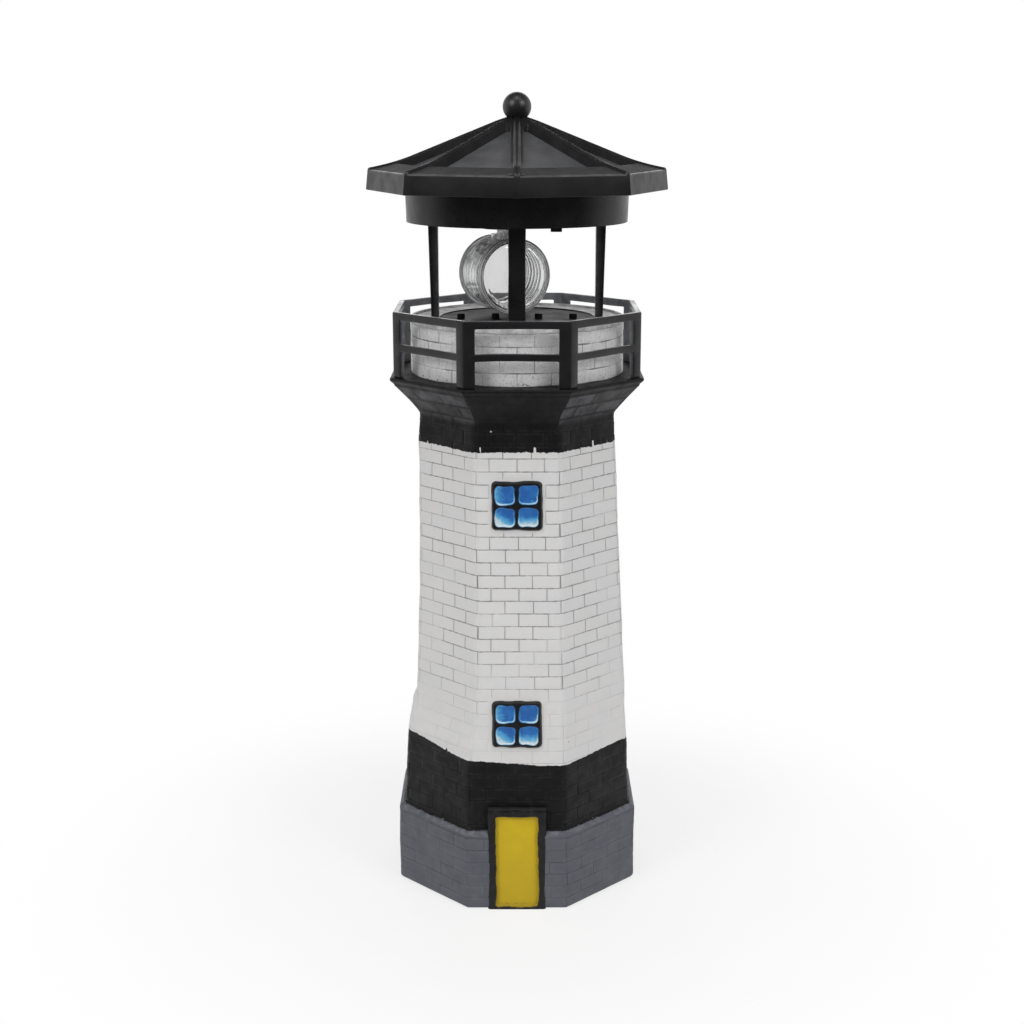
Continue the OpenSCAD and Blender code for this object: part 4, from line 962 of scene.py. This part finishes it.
# The roof flares to its eave from castR outwards. Each ridge is a pair of small beads with a seam between.
roof = {
    "eaveTopDraw": 0.7, "eaveZ": eaveFoot + 6.4, "footR": eaveCorner - 9.4, "rise": 1.8, "pitch": 21.8,
    "apexR": 3.0, "beadAt": 0.62, "beadW": 0.44, "beadH": 0.42, "seamH": 0.26, "margin": 2.2, "sink": 3.15,
    "under": 3.7, "t": 1.7, "tipW": 0.8, "tipRun": 0.08, "round": 0.5, "ballD": 9.4, "ballRise": 3.5,
    "marginPale": 0.3, "columns": 12,
}
roof["footZ"] = roof["eaveZ"] + roof["rise"]
roof["apexZ"] = roof["footZ"] + (roof["footR"] - roof["apexR"]) * math.tan(math.radians(roof["pitch"]))
roof["castR"] = roof["footR"] - 6.5
eaveTopR = eaveCorner - roof["eaveTopDraw"]
tipR = (roof["tipW"] + roof["margin"]) / halfSide * cornerRatio  # where the sunk fields start
fieldR = roof["footR"] - 0.2 * cornerRatio  # where they end


def slopeZ(c):
    # Height of the straight slope at a corner radius
    return roof["footZ"] + (roof["footR"] - c) * math.tan(math.radians(roof["pitch"]))


def roofRows():
    # Corner radius, height and whether the row is on top, from the peak to the eave and back inside
    r = roof
    t = np.linspace(0, 1, 30)
    ends = ((r["castR"], r["footR"], eaveTopR), (slopeZ(r["castR"]), r["footZ"] - 0.1, r["eaveZ"] + 0.1))
    flare = [(1 - t) ** 2 * a + 2 * t * (1 - t) * b + t ** 2 * c for a, b, c in ends]
    radii = {0.2, 1.4, r["apexR"]}
    radii.update(tipR + d for d in (-0.8, -0.3, -0.05, 0.1, 0.4, 0.8, 1.2, 1.7))
    radii.update(fieldR - d for d in (1.2, 0.5, 0.2, 0.08, 0.0, -0.08, -0.25))
    radii.update(np.linspace(tipR + 2.4, fieldR - 2, 40))
    radii.update(np.linspace(fieldR + 0.8, eaveTopR - 0.9, 12))
    rows = [(c, float(np.interp(c, *flare)) if c > r["castR"] else slopeZ(c), True) for c in sorted(radii)]
    edge = [rows[-1][:2], (eaveTopR, r["eaveZ"] + 0.1), (eaveTopR + 0.12, r["eaveZ"] - 1),
            (eaveCorner, eaveFoot), (eaveCorner - r["t"], eaveFoot),
            (eaveTopR - r["t"] * 1.1, r["eaveZ"] - 2.2), (r["footR"] - 1, r["footZ"] - r["under"]),
            (2, r["apexZ"] - r["under"])]
    for c, z in rounded(edge, r["round"], 4)[1:]:
        rows.append((c, z, c > eaveTopR - 1.5 and z > r["eaveZ"] - 0.4))
    return rows


def ridgeHeight(d, half):
    # How far the ridge stands up at a distance from its middle, flatter near the peak
    r = roof
    bead = r["beadH"] * math.sqrt(max(0, 1 - ((d - r["beadAt"]) / r["beadW"]) ** 2))
    crown = r["seamH"] * (1 - float(smoothStep(r["beadAt"] - 0.1, r["beadAt"] + r["beadW"], d)))
    return (bead + crown) * float(smoothStep(0.3, 1.6, half))


def roofColumns(half):
    # Places along a side of the given half width, close together over the ridges at its ends
    r = roof
    overBead = (-1, -0.9, -0.6, -0.3, 0, 0.3, 0.6, 0.85, 0.97, 1.0)
    near = [0, 0.08] + [r["beadAt"] + r["beadW"] * share for share in overBead]
    near += [1.3, 1.7] + [r["margin"] + d for d in (-0.12, -0.02, 0.1, 0.22)]
    squeeze = min(1, half / (near[-1] + 0.6))
    near = [d * squeeze for d in near]
    fromRidge = near + [near[-1] + (half - near[-1]) * k / r["columns"] for k in range(1, r["columns"] + 1)]
    return [-half + d for d in fromRidge] + [half - d for d in reversed(fromRidge[1:-1])]


def roofSide(side, rows):
    # The points of a side, where its moulding is dull, and where it is pale: painted highlights along the
    # eave's top edge and the feet of the fields, and a painted sheen on the margin
    r = roof
    turn = math.radians(45 * side + 22.5)
    block, pale, dull = [], [], []
    for c, z, onTop in rows:
        flat = c / cornerRatio
        half = flat * halfSide
        # Painted highlights: thin pale lines along the eave's top edge and the lower lip of each field
        eaveHighlight = bump(c - eaveTopR + 0.1, 0.3) * bump(z - r["eaveZ"], 0.3)
        fieldFootHighlight = 0.7 * bump(c - fieldR - 0.1, 0.16)
        margin = 1.0 * (onTop and fieldR < c < eaveTopR - 0.5)
        line, tones = [], []
        for place in roofColumns(half):
            d = half - abs(place)
            lift, sunk = ridgeHeight(d, half) * onTop, 0
            if onTop and tipR <= c <= fieldR + 0.001 and d > r["margin"]:
                sunk = float(smoothStep(tipR - 0.01, tipR + r["tipRun"], c))
                lift = (slopeZ(c) - z) * sunk - r["sink"] * sunk
            # Painted sheen on the margin between the fields and the eave
            marginSheen = r["marginPale"] * margin * (d > r["beadAt"] + r["beadW"])
            line.append((*swung(flat, place, turn), z + lift))
            tones.append(max(eaveHighlight, fieldFootHighlight * (d > r["margin"] - 0.1) * (1 - sunk), marginSheen))
        block.append(line)
        pale.append(tones)
        dull.append([margin] * len(line))
    return block, pale, dull


def buildRoof():
    rows = roofRows()
    sides = [roofSide(side, rows) for side in range(8)]
    points, pale, dull = (np.concatenate(parts, axis=1) for parts in zip(*sides))
    piece = gridPiece("roof_moulding", points, closed=True)
    keepValues(piece, "pale", pale)
    keepValues(piece, "dull", dull)
    return piece


def buildBall():
    r = roof
    centre, half = r["apexZ"] + r["ballRise"], r["ballD"] / 2
    low = -math.asin(r["ballRise"] / half)
    angles = np.linspace(math.pi / 2 - 0.004, low, 40)
    arc = [(half * math.cos(a), centre + half * math.sin(a)) for a in angles]
    stem = [(1.5, r["apexZ"] + 0.02), (1.5, r["apexZ"] - 3), (0.01, r["apexZ"] - 3)]
    return turned("ball", arc + stem, steps=96)


roofPiece = finishPiece(buildRoof(), "lantern", "black_plastic", blackRoof, "roof_shell")
finishPiece(buildBall(), "lantern", "black_plastic", blackBall, "finial_ball")

# Two small lumps of flash at the foot of the front ridge: x, y and length
knots = {"left_knot": (-1.7, -47.4, 1.5), "right_knot": (1.3, -47.6, 2.6)}
knotTall, knotDeep = 0.9, 1.5


def buildKnot(name, x, y, long):
    across = np.linspace(0, 2 * math.pi, 28, endpoint=False)[None, :]
    up = np.linspace(-math.pi / 2 + 0.02, math.pi / 2 - 0.02, 16)[:, None]
    points = stacked(long / 2 * np.cos(up) * np.cos(across), knotDeep / 2 * np.cos(up) * np.sin(across),
                     knotTall / 2 * np.sin(up))
    points = points * (1 + 0.12 * unevenness(points, 1.3, len(name))[..., None])
    return gridPiece(name, points + np.array([x, y, roof["eaveZ"] + 0.25]), closed=True)


for name, sizes in knots.items():
    finishPiece(buildKnot(name, *sizes), "lantern", "black_plastic", blackBall, "roof_shell")
print("roof made", len(roofPiece.data.vertices))

# The beacon, a clear drum on its spindle, seen from above turned to the left of straight ahead
beacon = {
    "x": (lowest("beacon_spindle").x + highest("beacon_spindle").x) / 2, "z": 211.1, "turn": 22.0,
    "length": 20.0, "r": 11.7, "rimR": 12.4, "rimL": 2.2, "wall": 1.0, "prisms": 5, "prismDepth": 0.4,
    "lensT": 1.0, "lensInset": 0.2, "lensR": 11.45, "lensRing": 1.6, "ringH": 0.1, "lensRows": 44,
    "round": 0.22, "seam": 0.6, "arcAt": 5.6, "arcW": 1.5, "lineOut": 0.55, "lineDepth": 0.15,
}
lensSeatR = beacon["lensR"] + 0.02


def onBeacon(piece):
    # Moves a piece turned about Z to the beacon's own axis
    b = beacon
    turn = math.radians(b["turn"] - 90)
    for v in piece.data.vertices:
        across, side, out = v.co
        x, y = swung(out, side, turn)
        v.co = Vector((b["x"] * mm + x, y, b["z"] * mm - across))
    piece.data.update()
    return piece


def buildBarrel():
    # The wall between the rims. Its left side is mottled with painted shade and dark reflections above and
    # below, with a black arc of painted shade behind the front rim, and the prism rings inside it are darker
    # with painted shade.
    b = beacon
    half = b["length"] / 2
    end, seat = half - b["seam"], half - b["lensT"] - b["lensInset"]
    outer = [(lensSeatR, end), (b["r"], end)]
    outer += [(b["r"], z) for z in np.linspace(half - 1.4, 1.4 - half, 24)]
    outer += [(b["r"], -end), (lensSeatR, -end), (lensSeatR, -seat)]
    innerR = b["r"] - b["wall"]
    prismR = innerR + b["prismDepth"]
    pitch = (b["length"] - 2 * b["rimL"]) / (b["prisms"] + 1)
    inner = [(innerR, -seat)]
    for k in range(1, b["prisms"] + 1):
        at = -half + b["rimL"] + k * pitch
        inner += [(innerR, at - pitch / 4), (prismR, at - pitch / 4 + 0.15),
                  (prismR, at + pitch / 4 - 0.15), (innerR, at + pitch / 4)]
    inner += [(innerR, seat), (lensSeatR, seat), (lensSeatR, end)]
    profile = rounded(outer + inner, b["round"], 3)
    piece = turned("clear_barrel", profile, steps=beaconSteps)
    angle = np.linspace(0, 2 * math.pi, beaconSteps, endpoint=False)[None, :]
    radius, along = np.array(profile)[:, :1], np.array(profile)[:, 1:]
    leftward, upward = -np.sin(angle), -np.cos(angle)
    patches = (0.3 + 0.7 * smoothStep(0.05, 0.45, np.abs(upward))) * smoothStep(-0.3, 0.2, leftward)
    arc = bump(along - b["arcAt"], b["arcW"]) * smoothStep(0.0, 0.3, leftward + 0.4 * upward)
    keepValues(piece, "shade", np.maximum(patches, 1.8 * arc * (radius > prismR + 0.2)))
    rib = (radius > innerR + 0.1) * (radius < prismR + 0.1) * (np.abs(along) < half - b["rimL"])
    keepValues(piece, "rib", rib * smoothStep(0.3, -0.2, leftward))
    return onBeacon(piece)


def buildRim(name, side):
    # The thick ring at an end of the barrel, with a thin dark line of painted shade let into its face
    # and its outside
    b = beacon
    end, back = side * b["length"] / 2, side * (b["length"] / 2 - b["rimL"])
    innerR, rimR, lineR, depth = b["lensR"] + 0.03, b["rimR"], b["lensR"] + b["lineOut"], b["lineDepth"]
    lineAt = (end + back) / 2
    outline = [(b["r"] + 0.01, back), (rimR, back), (rimR, lineAt - side * 0.2), (rimR - depth, lineAt),
               (rimR, lineAt + side * 0.2), (rimR, end), (lineR + depth, end), (lineR, end - side * depth),
               (lineR - depth, end), (innerR, end), (innerR, end - side * 0.5)]
    profile = rounded(outline if side > 0 else outline[::-1], b["round"], 3)
    piece = turned(name, profile, steps=beaconSteps)
    # Painted shade in the grooves on the face and the outside
    dark = [max(bump(r - lineR, 0.18) * (abs(z - end) < 0.4), bump(z - lineAt, 0.3) * (r > rimR - 0.3))
            for r, z in profile]
    keepValues(piece, "pale", np.repeat(dark, beaconSteps))
    return onBeacon(piece)


def buildLens(name, side):
    # An end lens: two shallow rings near its edge and a flat middle
    b = beacon
    outer = b["length"] / 2 - b["lensInset"]
    flat, back, edge = outer - 0.12, outer - b["lensT"], b["lensR"] - 0.02
    rim = [(0.01, back), (edge - 0.3, back), (edge - 0.12, back), (edge, back + 0.12), (edge, back + 0.3),
           (edge, outer - 0.42), (edge, outer - 0.24), (edge - 0.12, flat), (edge - 0.3, flat)]
    face = []
    for k in range(2, b["lensRows"]):
        r = edge * (1 - k / (b["lensRows"] - 1)) + 0.01
        inward = b["lensR"] - r
        rings = b["ringH"] * math.sin(inward / b["lensRing"] * 2 * math.pi) ** 2 * (inward < b["lensRing"])
        face.append((r, flat + rings))
    profile = [(r, side * z) for r, z in rim + face]
    return onBeacon(turned(name, profile[::side], steps=beaconSteps))


finishPiece(buildBarrel(), "beacon", "clear_plastic", clearWall, "beacon_barrel")
for side, name, node in ((1, "front", "lens_front"), (-1, "back", "lens_back")):
    finishPiece(buildRim(f"{name}_rim", side), "beacon", "clear_plastic", clearRim, "beacon_barrel")
    finishPiece(buildLens(f"{name}_glass", side), "beacon", "clear_plastic", clear, node)
finishPiece(softened("beacon_spindle", "spindle", 0.2), "beacon", "milky_plastic", milky, "beacon_spindle")
print("beacon made")


def solarFilm():
    # Dark grey film with a fine weave of lines and soft clouding
    g = Graph("solar_film")
    lines = g.joined("ShaderNodeTexWave", {"Vector": g.place, "Scale": 260, "Distortion": 0.4}, "Fac",
                     bands_direction="DIAGONAL")
    tone = g.wash((0.075, 0.076, 0.08), (0.11, 0.112, 0.118), g.noise(8, 4, 0.6), 0.3, 0.75)
    tone = g.mix(g.times(lines, 0.12), tone, (0.05, 0.052, 0.058))
    return g.finish(tone, g.uneven(0.3, 0.46, 5), g.bump(g.noise(1.2, 3), 0.03))


def boardFinish():
    g = Graph("board_mask")
    tracks = g.joined("ShaderNodeTexBrick", {"Vector": g.place, "Scale": 160, "Mortar Size": 0.05}, "Fac")
    tone = g.wash((0.012, 0.13, 0.045), (0.02, 0.19, 0.07), g.noise(0.5, 2, 0.5, (1, 3, 1)), 0.4, 0.65)
    tone = g.mix(g.times(tracks, 0.7), tone, (0.03, 0.28, 0.12))
    return g.finish(tone, g.uneven(0.25, 0.4, 3, 3), g.bump(tracks, 0.03))


def cellWrap():
    # A blue wrap with a bare band, between steel ends
    g = Graph("cell_wrap")
    x = g.axis("X")
    tone = g.wash((0.012, 0.05, 0.3), (0.55, 0.56, 0.58), x, 12.5 * mm, 12.7 * mm)
    tone = g.wash(tone, (0.1, 0.15, 0.34), g.noise(2, 4), 0.3, 0.8, 0.3)
    ends = g.math("GREATER_THAN", g.math("ABSOLUTE", x), 20.6 * mm)
    return g.finish(g.mix(ends, tone, grey(0.5)), g.uneven(0.2, 0.36, 4, 3), g.bump(g.noise(3, 2), 0.03))


# The CAD nodes that keep their own mesh, by finish
kept = (
    (steel, ("standoff_screws", "idler_pin", "drive_motor", "contact_spring", "contact_tab",
             "cover_screw", "roof_screws", "motor_shaft", "lamp_leads")),
    (brass, ("spindle_bush", "motor_pinion")),
    (gearPlastic, ("drive_gear", "idler_gear")),
    (greyPlastic, ("gear_plate", "switch_body")),
    (boardFinish(), ("circuit_board",)),
    (cellWrap(), ("battery_cell",)),
    (lampResin, ("beacon_lamp",)),
    (jacket, ("motor_leads", "battery_leads")),
    (solarFilm(), [f"solar_cell_{i}" for i in range(1, 9)]),
)
for material, names in kept:
    for name in names:
        shown = nodes[name]
        if not shown.data.materials:
            shown.data.materials.append(material)
        for place in shown.material_slots:
            place.material = material
print("CAD nodes finished")

studio = {
    "sheetR": 620.0, "shadowR": 70.0, "whiteR": 190.0, "shadowShare": 0.72, "soft": 0.42,
    "frontDark": 0.05, "topDark": 0.1, "backShine": 0.85, "aimZ": 0.15,
}
lamps = {  # place and size in metres, power, tint
    "key_left": ((-0.72, -0.7, 0.82), (0.42, 0.42), 4.0, (1, 0.99, 0.98)),
    "key_right": ((0.75, -0.68, 0.82), (0.42, 0.42), 3.8, (0.99, 0.99, 1)),
    "overhead": ((0.0, -0.3, 1.1), (0.5, 0.3), 1.5, (1, 1, 1)),
    "back_fill": ((0.0, 0.9, 0.5), (0.8, 0.6), 2.0, (1, 1, 1)),
}


def stagePaper():
    # White paper that keeps the shadow near the object and turns to plain white further out
    g = Graph("stage_paper")
    s = studio
    g.finish(g.wash(grey(0.9), grey(0.93), g.noise(60, 3), 0.3, 0.7), 0.9)
    direct, glossy = g.rays()
    length = g.joined("ShaderNodeVectorMath", {0: g.place}, "Value", operation="LENGTH")
    spread = g.remap(length, s["shadowR"] * mm, s["whiteR"] * mm, s["shadowShare"], 1)
    behind = g.remap(g.axis("Y"), -0.3, 0.05, s["frontDark"], 1)
    plain = g.joined("ShaderNodeEmission", {})
    mirrored = g.joined("ShaderNodeEmission", {"Strength": behind})
    paper = g.tree.nodes["Principled BSDF"].outputs[0]
    seen = g.joined("ShaderNodeMixShader", {0: g.times(direct, spread), 1: paper, 2: plain})
    whole = g.joined("ShaderNodeMixShader", {0: glossy, 1: seen, 2: mirrored})
    g.link(whole, g.tree.nodes["Material Output"].inputs["Surface"])
    return g.owner


def buildStage():
    r = studio["sheetR"]
    rim = [(r * math.cos(a), r * math.sin(a), 0) for a in np.linspace(0, 2 * math.pi, 96, endpoint=False)]
    sheet = newPiece("floor_sheet", rim, [tuple(range(len(rim)))])
    sheet.data.materials.append(stagePaper())


def buildWorld():
    # White for the camera and in clear plastic. Mirrored, it is white behind the object and darker in
    # front of it and overhead. As light it is an even soft grey.
    s = studio
    g = Graph("studio", bpy.data.worlds, "Generated")
    bpy.context.scene.world = g.owner
    direct, glossy = g.rays()
    behind = g.remap(g.axis("Y"), -0.45, 0.2, s["frontDark"], s["backShine"])
    mirrored = g.times(behind, g.remap(g.axis("Z"), 0.78, 0.3, s["topDark"], 1))
    strength = g.joined("ShaderNodeMix", {0: glossy, 2: s["soft"], 3: mirrored})
    strength = g.joined("ShaderNodeMix", {0: direct, 2: strength, 3: 1.0})
    shine = g.tree.nodes["Background"]
    shine.inputs["Color"].default_value = (1, 1, 1, 1)
    g.link(strength, shine.inputs["Strength"])


def softLamp(name, place, size, power, tint):
    data = bpy.data.lights.new(name, "AREA")
    data.shape = "RECTANGLE"
    data.size, data.size_y = size
    data.energy = power
    data.color = tint
    lamp = newObject(name, data)
    lamp.location = Vector(place)
    aim = Vector((0, 0, studio["aimZ"])) - lamp.location
    lamp.rotation_euler = aim.to_track_quat("-Z", "Y").to_euler()


buildStage()
buildWorld()
for name, settings in lamps.items():
    softLamp(name, *settings)

view = {
    "focalPixels": 1662.7, "imagePixels": 1024, "sensor": 36.0, "away": 0.5582, "height": 0.2672,
    "pitch": 13.9, "axisPixel": 517.0,
}
cameraData = bpy.data.cameras.new("camera")
cameraData.sensor_width = view["sensor"]
cameraData.lens = view["focalPixels"] * view["sensor"] / view["imagePixels"]
cameraData.shift_x = -(view["axisPixel"] - view["imagePixels"] / 2) / view["imagePixels"]
camera = newObject("camera", cameraData)
camera.location = Vector((0, -view["away"], view["height"]))
camera.rotation_euler = (math.radians(90 - view["pitch"]), 0, 0)
bpy.context.scene.camera = camera
bpy.context.scene.view_settings.view_transform = "Standard"

print("scene ready")
